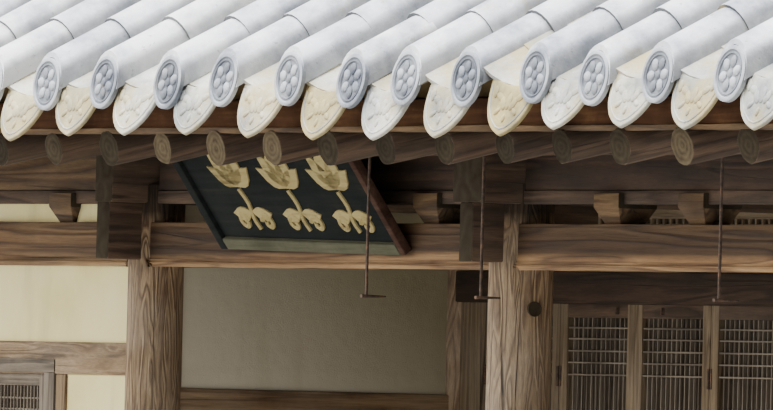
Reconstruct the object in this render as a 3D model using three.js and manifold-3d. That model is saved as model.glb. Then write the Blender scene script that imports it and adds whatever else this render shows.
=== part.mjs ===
// A small hanok: a three-bay timber house under a tiled gable roof, on a stone platform.
// Millimetres, +Z up, front towards -Y. The origin is at the middle of the platform's underside.

import * as THREE from 'three';
import { mergeVertices } from 'three/addons/utils/BufferGeometryUtils.js';
import Module from 'manifold-3d';

const wasm = await Module();
wasm.setup();

// Plan of the house
const bayWidth = 2100;
const columnX = [-1.5 * bayWidth, -0.5 * bayWidth, 0.5 * bayWidth, 1.5 * bayWidth];
const frontY = -1755;
const porchDepth = 1110;
const innerY = frontY + porchDepth;
const rearY = -frontY;
const fit = 0.3;

// Heights
const platformTop = 380;
const stoneTop = 510;
const floorTop = 760;
const lintelBottom = 2547;
const lintelTop = 2674;
const beamBottom = 2732;
const columnHead = 2790;
const beamTop = 2985;

// Columns are round logs; the two that flank the middle bay differ in girth
const columnRadius = 93;
const frontColumnRadii = [93, 86, 95, 93];
const widestColumn = Math.max(...frontColumnRadii);
const columnSides = 20;

// Platform and base stones
const platformHalf = { x: 3850, y: 2380 };
const stoneTopSide = 300;
const stoneFootSide = 390;

// Timbers
const lintelDepth = 120;
const lintelRound = 24;
const stripThick = 60;
const blockTopSide = 135;
const blockFootSide = 84;
const blockHeight = 90;
const blockWaist = 48;
const supportWidth = 90;
const supportTop = 2880;
const purlinRadius = 88;
const purlinZ = 2950;
const innerPurlinRadius = 95;
const purlinHalfLength = 4400;
const purlinSides = 16;
const beamWidth = 160;
const beamHead = 195;
const beamHeadWidths = [160, 105, 160, 160];
const neckWidth = 75;
const bracketReach = 195;
const bracketInside = 150;
const bracketBottom = lintelBottom + 12;
const postWidth = 140;
const kingPost = { foot: 190, shoulder: 150, neck: 95, footRise: 260, neckRise: 420, thick: 90 };

// Bearing blocks along each front lintel, measured from the middle of the bay
const blockPlaces = [[-570, 0, 570], [-612, 0, 612], [-490, -38, 490]];

// Rafters and sheathing
const rafterSlope = 0.23;
const rafterDiameter = 104;
const rafterSides = 10;
const rafterPitch = 313;
const rafterCount = 29;
const rafterOverhang = 990;
const rafterTail = 85;
const rafterBite = 6;
const sheathing = 26;
const upperSlope = 0.95;
const upperSheathing = 40;
const eaveBoard = { setBack: 12, depth: 70, top: 3004 };

// Roof body
const tileEdgeY = -2886;
const roofHalfLength = 4450;
const roofEdgeBottom = 2978;
const roofEdgeTop = 3022;
const eaveTileSlope = 0.53;
const ridgeTileSlope = 0.62;
const roofSteps = 5;
const tileRow = {
  pitch: 334.4, shift: 22.6, count: 26, edgeX: 4380, halfWidth: 69, side: 34, shoulder: 42, deep: 40, high: 98,
};
const tongue = { halfWidth: 146, cheek: 78, thick: 20, inset: 15, top: 2988, sideZ: 2972, cheekZ: 2920, tip: 2902 };

// Ridges and gable boards
const ridgeHalf = { x: 4460, y: 140 };
const ridgeTop = 4985;
const ridgeEndRise = 90;
const ridgeDepth = 400;
const ridgeSteps = 12;
const vergeX = 4200;
const vergeWidth = 220;
const vergeHeight = 210;
const vergeFootY = -2380;
const gableBoard = { thick: 45, deep: 330, drop: 30 };
const gableWallThick = 80;

// Walls
const wallThick = 90;
const railThick = 112;
const headRail = [2203, 2303];
const sillRail = [1100, 1195];
const floorRail = [floorTop - 100, floorTop];
const porchRail = [2069, 2169];
const sidePost = { offset: 578, width: 60 };
const tie = { inset: 200, wide: 6, deep: 40 };

// Window of a walled bay
const windowTop = 2250;
const windowHalfWidth = 548;
const windowFrame = 61;
const windowHead = 42;
const sashStile = 68;
const sashRail = 42;
const sashThick = 32;
const sashBack = -20;
const paperThick = 8;

// Folding lattice doors of the inner wall
const leafCount = 4;
const leafWidth = 425;
const leafStile = 42;
const leafThick = 36;
const leafGap = 3;
const leafPanelTop = 1230;
const doorSill = 30;
const doorHead = 2458;
const headBeamTop = 2556;
const transomTop = 2900;
const transomRail = 45;
const transomLights = 2;
const jambDepth = 100;
const headBeamDepth = 130;
const upperWallThick = 60;
const panelRecess = 10;

// Floors
const plank = 45;
const floorEdge = { front: 60, side: 20 };
const edgeBeam = { deep: 150, thick: 110 };
const underPost = 120;

// Signboard over the middle bay
const sign = {
  x: 30, width: 1050, height: 425, thick: 45, frame: 40, panelDrop: 14, lean: 36, footY: -97, footZ: 2591,
};

// Iron door hooks hanging from the rafters
const hookRafters = { left: 4, middle: 6, right: 10 };
const hookY = frontY - 657;
const stapleDrop = 22;
const stapleRadius = 4;
const stapleHalfWidth = 14;
const eyeHole = 4.6;
const eyeOuter = 11;
const eyeThick = 9;
const rodRadius = 4.5;
const hookLength = 418;
const foot = { front: 18, back: 66, width: 14, thick: 7 };

// Finishes
const finishes = {
  stone: { color: 0x9b968c, roughness: 0.95, metalness: 0 },
  timber: { color: 0x7d6344, roughness: 0.8, metalness: 0 },
  darkTimber: { color: 0x4f3a2a, roughness: 0.85, metalness: 0 },
  plaster: { color: 0xcfc8a8, roughness: 0.95, metalness: 0 },
  tile: { color: 0xb9bbc0, roughness: 0.85, metalness: 0 },
  iron: { color: 0x2b2624, roughness: 0.6, metalness: 0.8 },
  lacquer: { color: 0x2e3230, roughness: 0.6, metalness: 0 },
  floorClay: { color: 0xb09a6c, roughness: 0.9, metalness: 0 },
};

const house = new THREE.Group();

// A three.js geometry as a solid that can be joined and cut
function solidOf(geometry) {
  const bare = geometry.clone();
  bare.deleteAttribute('normal');
  bare.deleteAttribute('uv');
  const merged = mergeVertices(bare, 1e-4);
  const mesh = new wasm.Mesh({
    numProp: 3,
    vertProperties: Float32Array.from(merged.attributes.position.array),
    triVerts: Uint32Array.from(merged.index.array),
  });
  return new wasm.Manifold(mesh);
}

function geometryOf(solid) {
  const mesh = solid.getMesh();
  const geometry = new THREE.BufferGeometry();
  geometry.setAttribute('position', new THREE.BufferAttribute(mesh.vertProperties, 3));
  geometry.setIndex(new THREE.BufferAttribute(mesh.triVerts, 1));
  const faceted = geometry.toNonIndexed();
  faceted.computeVertexNormals();
  return faceted;
}

function join(solids) {
  return solids.reduce((whole, next) => whole.add(next));
}

function cut(solid, tools) {
  return tools.reduce((rest, tool) => rest.subtract(tool), solid);
}

function addPart(name, solid, finish, place = [0, 0, 0], parent = house) {
  const mesh = new THREE.Mesh(geometryOf(solid), new THREE.MeshStandardMaterial(finishes[finish]));
  mesh.name = name;
  mesh.position.set(...place);
  parent.add(mesh);
  return mesh;
}

function block([x0, x1], [y0, y1], [z0, z1]) {
  const box = new THREE.BoxGeometry(x1 - x0, y1 - y0, z1 - z0);
  box.translate((x0 + x1) / 2, (y0 + y1) / 2, (z0 + z1) / 2);
  return solidOf(box);
}

function around(middle, width) {
  return [middle - width / 2, middle + width / 2];
}

function log(radius, length, sides) {
  return new THREE.CylinderGeometry(radius, radius, length, sides);
}

function uprightLog(x, y, [z0, z1], radius) {
  const post = log(radius, z1 - z0, columnSides);
  post.rotateX(Math.PI / 2);
  post.translate(x, y, (z0 + z1) / 2);
  return solidOf(post);
}

function logAlongX([x0, x1], y, z, radius, sides = purlinSides) {
  const bar = log(radius, x1 - x0, sides);
  bar.rotateY(Math.PI / sides);
  bar.rotateZ(Math.PI / 2);
  bar.translate((x0 + x1) / 2, y, z);
  return solidOf(bar);
}

// An outline in the YZ plane carried along X
function profileAlongX(points, [x0, x1]) {
  const shape = new THREE.Shape(points.map(([y, z]) => new THREE.Vector2(y, z)));
  const body = new THREE.ExtrudeGeometry(shape, { depth: x1 - x0, bevelEnabled: false });
  const turn = new THREE.Matrix4().makeBasis(
    new THREE.Vector3(0, 1, 0), new THREE.Vector3(0, 0, 1), new THREE.Vector3(1, 0, 0));
  body.applyMatrix4(turn);
  body.translate(x0, 0, 0);
  return solidOf(body);
}

// An outline in the XZ plane carried along Y
function profileAlongY(points, [y0, y1]) {
  const shape = new THREE.Shape(points.map(([x, z]) => new THREE.Vector2(x, z)));
  const body = new THREE.ExtrudeGeometry(shape, { depth: y1 - y0, bevelEnabled: false });
  body.rotateX(Math.PI / 2);
  body.translate(0, y1, 0);
  return solidOf(body);
}

function mirrored(points) {
  return points.map(([y, z]) => [-y, z]).reverse();
}

// A square block that narrows from one end to the other
function taperedBlock(x, y, [z0, z1], footSide, topSide) {
  const body = new THREE.CylinderGeometry(topSide * Math.SQRT1_2, footSide * Math.SQRT1_2, z1 - z0, 4);
  body.rotateY(Math.PI / 4);
  body.rotateX(Math.PI / 2);
  body.translate(x, y, (z0 + z1) / 2);
  return solidOf(body);
}

// Columns of the three rows; the outer rows rise past the beams, which they hold in a slot
const columns = columnX.flatMap((x, i) => [
  { name: `front_column_${i + 1}`, x, y: frontY, radius: frontColumnRadii[i], top: columnHead },
  { name: `inner_column_${i + 1}`, x, y: innerY, radius: columnRadius, top: beamBottom - fit },
  { name: `rear_column_${i + 1}`, x, y: rearY, radius: columnRadius, top: columnHead },
]);
const walledColumn = 'inner_column_1';

function columnSpace({ x, y, radius, top }) {
  return uprightLog(x, y, [0, top + fit], radius + fit);
}

function neckSpace({ x, y, radius }, grow) {
  return block(around(x, neckWidth + 2 * grow), around(y, 3 * radius), [beamBottom - grow, beamTop]);
}

function baseStone(x, y, grow) {
  const sides = [stoneFootSide + 2 * grow, stoneTopSide + 2 * grow];
  return taperedBlock(x, y, [platformTop - 1, stoneTop + grow], ...sides);
}

function stoneSpaces() {
  return columns.map(({ x, y }) => baseStone(x, y, 2 * fit));
}

function buildPlatform() {
  const slab = block([-platformHalf.x, platformHalf.x], [-platformHalf.y, platformHalf.y], [0, platformTop]);
  const stones = columns.map(({ x, y }) => baseStone(x, y, 0));
  addPart('stone_platform', join([slab, ...stones]), 'stone');
}

function buildColumns() {
  const foot = stoneTop + fit;
  for (const column of columns) {
    if (column.name === walledColumn) continue;
    const { x, y, radius, top } = column;
    const shaft = cut(uprightLog(x, y, [foot, top], radius), [neckSpace(column, fit)]);
    addPart(column.name, shaft.translate([-x, -y, -foot]), 'timber', [x, y, foot]);
  }
}

// Rafters: the underside of the rafter row at a distance from the front columns
function rafterBottom(y) {
  return purlinZ + purlinRadius * Math.hypot(1, rafterSlope) + fit + rafterSlope * (y - frontY);
}

const rafterRise = rafterDiameter * Math.hypot(1, rafterSlope);
const tipY = frontY - rafterOverhang;

function sheathingBottom(y) {
  const lower = rafterBottom(Math.min(y, innerY)) + rafterRise - rafterBite;
  return lower + upperSlope * Math.max(y - innerY, 0);
}

function sheathingTop(y) {
  return sheathingBottom(y) + (y <= innerY ? sheathing : upperSheathing);
}

const innerPurlinZ = rafterBottom(innerY) - fit - innerPurlinRadius * Math.hypot(1, rafterSlope);
const ridgePurlinZ = sheathingBottom(0) - fit - innerPurlinRadius * Math.hypot(1, upperSlope);

const purlins = [
  { name: 'front_purlin', y: frontY, z: purlinZ, radius: purlinRadius },
  { name: 'front_middle_purlin', y: innerY, z: innerPurlinZ, radius: innerPurlinRadius },
  { name: 'ridge_purlin', y: 0, z: ridgePurlinZ, radius: innerPurlinRadius },
  { name: 'rear_middle_purlin', y: -innerY, z: innerPurlinZ, radius: innerPurlinRadius },
  { name: 'rear_purlin', y: rearY, z: purlinZ, radius: purlinRadius },
];

function purlinSpaces() {
  return purlins.map(({ y, z, radius }) =>
    logAlongX([-roofHalfLength, roofHalfLength], y, z, radius + fit));
}

// Lintels between the front columns, with the bearing blocks that stand on them
function lintelBody(middleX, y) {
  const half = lintelDepth / 2;
  const outline = [
    [-half, lintelBottom + lintelRound], [-half + lintelRound * 0.3, lintelBottom + lintelRound * 0.3],
    [-half + lintelRound, lintelBottom], [half - lintelRound, lintelBottom],
    [half - lintelRound * 0.3, lintelBottom + lintelRound * 0.3], [half, lintelBottom + lintelRound],
    [half, lintelTop], [-half, lintelTop],
  ].map(([u, z]) => [y + u, z]);
  return profileAlongX(outline, around(middleX, bayWidth));
}

// A bearing block is slotted to hold the purlin's support beam
function bearingBlock(x, y) {
  const top = lintelTop + blockHeight;
  const waist = lintelTop + blockWaist;
  const foot = taperedBlock(x, y, [lintelTop - 1, waist], blockFootSide, blockTopSide);
  const head = block(around(x, blockTopSide), around(y, blockTopSide), [waist, top]);
  const seat = around(y, supportWidth + 2 * fit);
  return cut(join([foot, head]), [block(around(x, 2 * blockTopSide), seat, [beamBottom - fit, top + 1])]);
}

function buildFrontLintels() {
  const names = ['front_lintel_left', 'front_lintel_middle', 'front_lintel_right'];
  names.forEach((name, bay) => {
    const middleX = (columnX[bay] + columnX[bay + 1]) / 2;
    const blocks = blockPlaces[bay].map((offset) => bearingBlock(middleX + offset, frontY));
    const pieces = [lintelBody(middleX, frontY), ...blocks];
    if (bay === 0) {
      const strip = [lintelTop - 1, beamBottom - fit];
      pieces.push(block(around(middleX, bayWidth - beamWidth - 2 * fit), around(frontY, stripThick), strip));
    }
    addPart(name, cut(join(pieces), columns.map(columnSpace)), 'timber');
  });
}

// The eave purlins and the support beams under them, which stop at each cross beam
function buildPurlins() {
  for (const { name, y, z, radius } of purlins) {
    let body = logAlongX([-purlinHalfLength, purlinHalfLength], 0, 0, radius);
    if (radius === purlinRadius) {
      const height = [beamBottom - z, supportTop - z];
      const support = block([-purlinHalfLength, purlinHalfLength], around(0, supportWidth), height);
      const room = [height[0] - 1, height[1] + 1];
      const gaps = columnX.map((x) =>
        block(around(x, 2 * (widestColumn + fit)), around(0, 2 * supportWidth), room));
      body = body.add(cut(support, gaps));
    }
    addPart(name, body, 'darkTimber', [0, y, z]);
  }
}

// A cross beam's head and the bracket under it, outside and inside the front column
function beamEnd(headWidth) {
  const head = block(around(0, headWidth), [frontY - beamHead, frontY], [beamBottom, beamTop]);
  const bracket = block(around(0, neckWidth),
    [frontY - bracketReach, frontY + columnRadius + bracketInside], [bracketBottom, beamBottom + 1]);
  return join([head, bracket]);
}

function middleFramePosts() {
  const posts = [innerY, -innerY].map((y) =>
    block(around(0, postWidth), around(y, postWidth), [beamTop - 1, innerPurlinZ]));
  const { foot, shoulder, neck, footRise, neckRise, thick } = kingPost;
  const half = [
    [foot, beamTop - 1], [shoulder, beamTop + footRise], [neck, beamTop + neckRise], [neck, ridgePurlinZ],
  ];
  return [...posts, profileAlongX([...half, ...mirrored(half)], around(0, thick))];
}

function buildCrossBeams() {
  columnX.forEach((x, i) => {
    const end = beamEnd(beamHeadWidths[i]);
    const middle = block(around(0, beamWidth), [frontY, rearY], [beamBottom, beamTop]);
    const pieces = [middle, end, end.mirror([0, 1, 0])];
    const isEnd = i === 0 || i === columnX.length - 1;
    if (!isEnd) pieces.push(...middleFramePosts());
    const necks = columns.filter((column) => column.x === x)
      .map((column) => cut(columnSpace(column), [neckSpace(column, 0)]).translate([-x, 0, 0]));
    addPart(`cross_beam_${i + 1}`, cut(join(pieces), [...purlinSpaces(), ...necks]), 'darkTimber', [x, 0, 0]);
  });
}

// One rafter as a log lying at the roof's lower slope
function rafterLog(x) {
  const backY = innerY + rafterTail;
  const run = backY - tipY;
  const length = run * Math.hypot(1, rafterSlope);
  const body = log(rafterDiameter / 2, length, rafterSides);
  body.rotateX(Math.atan(rafterSlope));
  const middleY = (backY + tipY) / 2;
  body.translate(x, middleY, rafterBottom(middleY) + rafterRise / 2);
  return solidOf(body);
}

function sheathingBody() {
  const stops = [tipY + eaveBoard.setBack, innerY, -fit / 2];
  const under = stops.map((y) => [y, sheathingBottom(y)]);
  const over = stops.reverse().map((y) => [y, sheathingTop(y)]);
  return profileAlongX([...under, ...over], [-roofHalfLength, roofHalfLength]);
}

function eaveBoardBody() {
  const front = tipY + eaveBoard.setBack;
  const back = front + eaveBoard.depth;
  const outline = [
    [front, sheathingBottom(front)], [back, sheathingBottom(back)],
    [back, eaveBoard.top], [front, eaveBoard.top],
  ];
  return profileAlongX(outline, [-roofHalfLength, roofHalfLength]);
}

// A staple is a U of bar driven into the underside of a rafter
function staple(x) {
  const pinZ = rafterBottom(hookY) - stapleDrop;
  const top = rafterBottom(hookY) + 12;
  const bar = 2 * stapleRadius;
  const legs = [-1, 1].map((side) =>
    block(around(x + side * stapleHalfWidth, bar), around(hookY, bar), [pinZ, top]));
  const pin = logAlongX(around(x, 2 * (stapleHalfWidth + stapleRadius)), hookY, pinZ, stapleRadius);
  return join([...legs, pin]);
}

function buildRafters() {
  const places = Array.from({ length: rafterCount }, (_, i) => (i - (rafterCount - 1) / 2) * rafterPitch);
  const row = join([sheathingBody(), eaveBoardBody(), ...places.map(rafterLog)]);
  const staples = Object.values(hookRafters).map((n) => staple(n * rafterPitch));
  addPart('front_rafters', join([row, ...staples]), 'darkTimber');
  const rear = new THREE.Group();
  rear.rotation.z = Math.PI;
  house.add(rear);
  addPart('rear_rafters', row, 'darkTimber', [0, 0, 0], rear);
}

// The tiled surface is hollow-curved: gentle at the eave and steeper at the ridge
const stationY = Array.from({ length: roofSteps + 1 }, (_, i) => tileEdgeY * (1 - i / roofSteps));

function curveHeight(y) {
  const run = y - tileEdgeY;
  const steepening = (ridgeTileSlope - eaveTileSlope) / (-2 * tileEdgeY);
  return roofEdgeTop + eaveTileSlope * run + steepening * run * run;
}

// The faceted surface between the stations, on either slope
function roofHeight(y) {
  const place = (1 + Math.abs(y) / tileEdgeY) * roofSteps;
  const i = Math.min(Math.floor(place), roofSteps - 1);
  return THREE.MathUtils.lerp(curveHeight(stationY[i]), curveHeight(stationY[i + 1]), place - i);
}

function roofLine(footY, offset = 0) {
  const stops = [footY, ...stationY.filter((y) => y > footY + 1)];
  return stops.map((y) => [y, roofHeight(y) + offset]);
}

function slopeOutline() {
  const boardBack = tipY + eaveBoard.setBack + eaveBoard.depth + fit;
  return [
    [tileEdgeY, roofEdgeBottom], [tipY, eaveBoard.top + fit], [boardBack, eaveBoard.top + fit],
    [boardBack, sheathingTop(boardBack) + fit], [innerY, sheathingTop(innerY) + fit],
    [innerY, sheathingBottom(innerY) + upperSheathing + fit], [-fit / 2, sheathingTop(-fit / 2) + fit],
    ...roofLine(tileEdgeY).map(([y, z]) => [Math.min(y, -fit / 2), z]).reverse(),
  ];
}

// A row of round tiles, as one ridge that follows the slope up from the eave to endY
function tileRowBody(x, endY) {
  const { halfWidth, side, shoulder, deep, high } = tileRow;
  const half = [[halfWidth, -deep], [halfWidth, side], [shoulder, high]];
  const section = [...half, ...half.map(([u, z]) => [-u, z]).reverse()];
  const stops = [tileEdgeY, ...stationY.filter((y) => y > tileEdgeY && y < endY - 1), endY];
  const points = stops.flatMap((y) => section.map(([u, z]) => [x + u, y, roofHeight(y) + z]));
  const sides = section.length;
  const faces = [];
  for (let i = 0; i < stops.length - 1; i += 1) {
    for (let j = 0; j < sides; j += 1) {
      const [a, b] = [i * sides + j, i * sides + (j + 1) % sides];
      faces.push(a, b + sides, b, a, a + sides, b + sides);
    }
  }
  const last = (stops.length - 1) * sides;
  for (let j = 1; j < sides - 1; j += 1) faces.push(0, j, j + 1, last, last + j + 1, last + j);
  const body = new THREE.BufferGeometry();
  body.setAttribute('position', new THREE.Float32BufferAttribute(points.flat(), 3));
  body.setIndex(faces);
  return solidOf(body);
}

// The shield-shaped drip tile between two rows
function tongueBody(x) {
  const { halfWidth, cheek, thick, inset, top, sideZ, cheekZ, tip } = tongue;
  const half = [[halfWidth, top], [halfWidth, sideZ], [cheek, cheekZ]];
  const outline = [...half, [0, tip], ...half.map(([u, z]) => [-u, z]).reverse()];
  const depth = [tileEdgeY + inset, tileEdgeY + inset + thick];
  return profileAlongY(outline.map(([u, z]) => [x + u, z]), depth);
}

function buildRoofSlopes() {
  const half = tileRow.count / 2;
  const edges = Array.from({ length: tileRow.count + 1 }, (_, i) => (i - half) * tileRow.pitch + tileRow.shift);
  const rowX = [-tileRow.edgeX, ...edges.slice(1).map((x) => x - tileRow.pitch / 2), tileRow.edgeX];
  const rows = rowX.map((x) => {
    const underVerge = Math.abs(Math.abs(x) - vergeX) < vergeWidth / 2;
    return tileRowBody(x, underVerge ? vergeFootY - 2 * fit : -ridgeHalf.y - 2 * fit);
  });
  const bed = profileAlongX(slopeOutline(), [-roofHalfLength, roofHalfLength]);
  const slope = join([bed, ...rows, ...edges.slice(1, -1).map(tongueBody)]);
  addPart('roof_front_slope', slope, 'tile');
  const rear = new THREE.Group();
  rear.rotation.z = Math.PI;
  house.add(rear);
  addPart('roof_rear_slope', slope, 'tile', [0, 0, 0], rear);
}

// A band that follows both slopes and passes over the top of the roof
function bandOutline(footY, bottomOffset, topOffset) {
  const top = roofLine(footY, topOffset);
  const bottom = roofLine(footY, bottomOffset);
  const farTop = top.map(([y, z]) => [-y, z]);
  return [...bottom, ...mirrored(bottom).slice(1), ...farTop, ...top.reverse().slice(1)];
}

function vergeBand([x0, x1], bottomOffset, topOffset) {
  return profileAlongX(bandOutline(vergeFootY, bottomOffset, topOffset), [x0, x1]);
}

function buildRidges() {
  const places = { left: -vergeX, right: vergeX };
  const ridgeOutline = [[-ridgeHalf.x, roofHeight(ridgeHalf.y)], [ridgeHalf.x, roofHeight(ridgeHalf.y)]];
  for (let i = 0; i <= ridgeSteps; i += 1) {
    const x = ridgeHalf.x * (1 - 2 * i / ridgeSteps);
    ridgeOutline.push([x, ridgeTop + ridgeEndRise * (x / ridgeHalf.x) ** 2]);
  }
  const ridge = profileAlongY(ridgeOutline, [-ridgeHalf.y, ridgeHalf.y]);
  const roofReach = [-ridgeHalf.x - 1, ridgeHalf.x + 1];
  const roof = profileAlongX(bandOutline(-2 * ridgeHalf.y, -ridgeDepth, fit), roofReach);
  const bands = Object.values(places).map((x) =>
    vergeBand(around(x, vergeWidth + 2 * fit), -ridgeDepth, vergeHeight + fit));
  addPart('main_ridge', cut(ridge, [roof, ...bands]), 'tile');
  for (const [side, x] of Object.entries(places)) {
    addPart(`${side}_verge_ridge`, vergeBand(around(0, vergeWidth), fit, vergeHeight), 'tile', [x, 0, 0]);
  }
}

function buildGableBoards() {
  const { thick, deep, drop } = gableBoard;
  const board = profileAlongX(bandOutline(tileEdgeY + 60, -drop - deep, -drop), [0, thick]);
  addPart('left_gable_board', board, 'timber', [-roofHalfLength - thick - fit, 0, 0]);
  addPart('right_gable_board', board, 'timber', [roofHalfLength + fit, 0, 0]);
}

// The gable walls close the space over the end beams, with their king posts inside the plaster
function buildGableWalls() {
  const low = frontY + 1.5 * purlinRadius;
  const tail = innerY + rafterTail + rafterDiameter * rafterSlope;
  const half = [
    [low, beamTop + fit], [low, rafterBottom(low) - 1], [tail, rafterBottom(tail) - 1],
    [tail, sheathingBottom(tail) - 1], [0, sheathingBottom(0) - 1],
  ];
  const outline = [...half, ...mirrored(half).slice(1)];
  const panel = profileAlongX(outline.reverse(), around(0, gableWallThick));
  const posts = [[innerY, innerPurlinZ], [-innerY, innerPurlinZ], [0, ridgePurlinZ]].map(([y, top]) =>
    block(around(0, postWidth), around(y, postWidth), [beamTop + fit, top]));
  const seats = purlins.map(({ y, z, radius }) =>
    block([-postWidth, postWidth], around(y, 2 * (radius + fit)), [z, z + 2 * radius]));
  const wall = cut(join([panel, ...posts]), [...purlinSpaces(), ...seats]);
  addPart('left_gable_wall', wall, 'plaster', [columnX[0], 0, 0]);
  addPart('right_gable_wall', wall, 'plaster', [columnX[3], 0, 0]);
}

// Walls are drawn along X and turned where they run along Y
function wallBetween([x0, x1], [z0, z1], rails) {
  const panel = block([x0, x1], around(0, wallThick), [z0, z1]);
  return join([panel, ...rails.map((rail) => block([x0, x1], around(0, railThick), rail))]);
}

function windowPosts(middleX) {
  return [-1, 1].map((side) => block(around(middleX + side * sidePost.offset, sidePost.width),
    around(0, railThick), [sillRail[0], headRail[1]]));
}

function windowHole(middleX) {
  const width = 2 * (windowHalfWidth + fit);
  return block(around(middleX, width), around(0, 2 * railThick), [sillRail[1], windowTop]);
}

// A pair of lattice sashes in their frame, backed by one sheet
function windowBody(middleX) {
  const bottom = sillRail[1] + fit;
  const top = windowTop - fit;
  const outer = block(around(middleX, 2 * windowHalfWidth), around(0, wallThick), [bottom, top]);
  const inner = [bottom + windowHead, top - windowHead];
  const light = block(around(middleX, 2 * (windowHalfWidth - windowFrame)), around(0, wallThick + 2), inner);
  const pieces = [cut(outer, [light])];
  const sashWidth = windowHalfWidth - windowFrame;
  for (const side of [-1, 1]) {
    const middle = middleX + side * sashWidth / 2;
    const sash = block(around(middle, sashWidth), around(sashBack, sashThick), inner);
    const opening = block(around(middle, sashWidth - 2 * sashStile), around(sashBack, 2 * sashThick),
      [inner[0] + sashRail, inner[1] - sashRail]);
    pieces.push(cut(sash, [opening]));
  }
  const sheet = [sashBack + sashThick / 2 - paperThick, sashBack + sashThick / 2];
  pieces.push(block(around(middleX, 2 * sashWidth), sheet, inner));
  return join(pieces);
}

// A wall gives way to every column but one that is built into it
function clearOfFrame(solid, builtIn) {
  const others = columns.filter(({ name }) => name !== builtIn);
  return cut(solid, [...others.map(columnSpace), ...stoneSpaces()]);
}

// Room for the brackets inside a column of a wall that runs along Y
function bracketSpaces() {
  const height = [bracketBottom - fit, beamBottom];
  return [frontY, rearY].map((y) =>
    block(around(0, neckWidth + 2 * fit), around(y, 2 * (columnRadius + bracketInside + fit)), height));
}

function buildFrontLeftWall() {
  const middleX = (columnX[0] + columnX[1]) / 2;
  const wall = wallBetween([columnX[0], columnX[1]], [platformTop + fit, lintelBottom - fit],
    [headRail, sillRail, floorRail]);
  const framed = cut(join([wall, ...windowPosts(middleX)]), [windowHole(middleX)]);
  addPart('front_left_wall', clearOfFrame(framed.translate([0, frontY, 0])), 'plaster');
  addPart('front_left_window', windowBody(0), 'timber', [middleX, frontY, 0]);
}

// Each rear bay repeats the walled front bay, its lintel and window built into it
function buildRearWalls() {
  const names = ['rear_wall_left', 'rear_wall_middle', 'rear_wall_right'];
  names.forEach((name, bay) => {
    const middleX = (columnX[bay] + columnX[bay + 1]) / 2;
    const wall = wallBetween([columnX[bay], columnX[bay + 1]], [platformTop + fit, beamBottom - fit],
      [headRail, sillRail, floorRail, [lintelBottom, lintelTop]]);
    const framed = cut(join([wall, ...windowPosts(middleX)]), [windowHole(middleX)]);
    const turned = windowBody(-middleX).rotate([0, 0, 180]);
    const brackets = columnX.slice(bay, bay + 2).flatMap((x) =>
      bracketSpaces().map((space) => space.translate([x, 0, 0])));
    const whole = join([framed, turned, ...sashTies(middleX)]).translate([0, rearY, 0]);
    addPart(name, clearOfFrame(cut(whole, brackets)), 'plaster');
  });
}

// Thin shims hold a built-in window frame in its opening
function sashTies(middleX) {
  const tall = [sillRail[1] + tie.inset, headRail[0] - tie.inset];
  return [-1, 1].map((side) =>
    block(around(middleX + side * windowHalfWidth, tie.wide), around(0, tie.deep), tall));
}

// A wall that runs along Y from the platform up to the cross beam at x
function sideWall(x, reach, rails) {
  const wall = wallBetween(reach, [platformTop + fit, beamBottom - fit], rails).rotate([0, 0, 90]);
  return cut(wall, bracketSpaces()).translate([x, 0, 0]);
}

function buildSideWalls() {
  const rails = [headRail, sillRail, floorRail];
  const walled = columns.find(({ name }) => name === walledColumn);
  const post = uprightLog(walled.x, walled.y, [platformTop + fit, walled.top], walled.radius);
  const left = sideWall(columnX[0], [frontY, rearY], rails);
  addPart('left_side_wall', clearOfFrame(left.add(post), walledColumn), 'plaster');
  addPart('right_side_wall', clearOfFrame(sideWall(columnX[3], [innerY, rearY], rails)), 'plaster');
  const porch = sideWall(columnX[1], [frontY, innerY], [porchRail, floorRail]);
  addPart('porch_side_wall', clearOfFrame(porch), 'plaster');
}

// The inner wall of a porch bay: jambs, sill, head beam, transom and the panel over it
function doorFrame(middleX) {
  const halfBay = bayWidth / 2;
  const halfDoor = leafCount * leafWidth / 2;
  const jambWidth = halfBay - halfDoor - fit;
  const pieces = [-1, 1].map((side) =>
    block(around(middleX + side * (halfBay - jambWidth / 2), jambWidth), around(0, jambDepth),
      [floorTop + fit, doorHead + 1]));
  pieces.push(block(around(middleX, bayWidth), around(0, jambDepth), [floorTop + fit, floorTop + doorSill]));
  pieces.push(block(around(middleX, bayWidth), around(0, headBeamDepth), [doorHead, headBeamTop]));
  const lightWidth = (bayWidth - 2 * columnRadius - (transomLights + 1) * transomRail) / transomLights;
  const transom = block(around(middleX, bayWidth), around(0, upperWallThick), [headBeamTop - 1, transomTop]);
  const openings = Array.from({ length: transomLights }, (_, i) => {
    const place = middleX + (i - (transomLights - 1) / 2) * (lightWidth + transomRail);
    return block(around(place, lightWidth), [-upperWallThick, upperWallThick / 2 - paperThick],
      [headBeamTop + transomRail, transomTop - transomRail]);
  });
  pieces.push(cut(transom, openings));
  pieces.push(block(around(middleX, bayWidth), around(0, upperWallThick), [transomTop - 1, innerPurlinZ]));
  return join(pieces);
}

function buildDoorFrame(name, bay) {
  const middleX = (columnX[bay] + columnX[bay + 1]) / 2;
  const beams = [columnX[bay], columnX[bay + 1]].map((x) => block(around(x, beamWidth + 2 * fit),
    around(innerY, 2 * jambDepth), [beamBottom - fit, innerPurlinZ + innerPurlinRadius]));
  const frame = doorFrame(middleX).translate([0, innerY, 0]);
  addPart(name, clearOfFrame(cut(frame, [...beams, ...purlinSpaces()])), 'timber');
}

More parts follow.
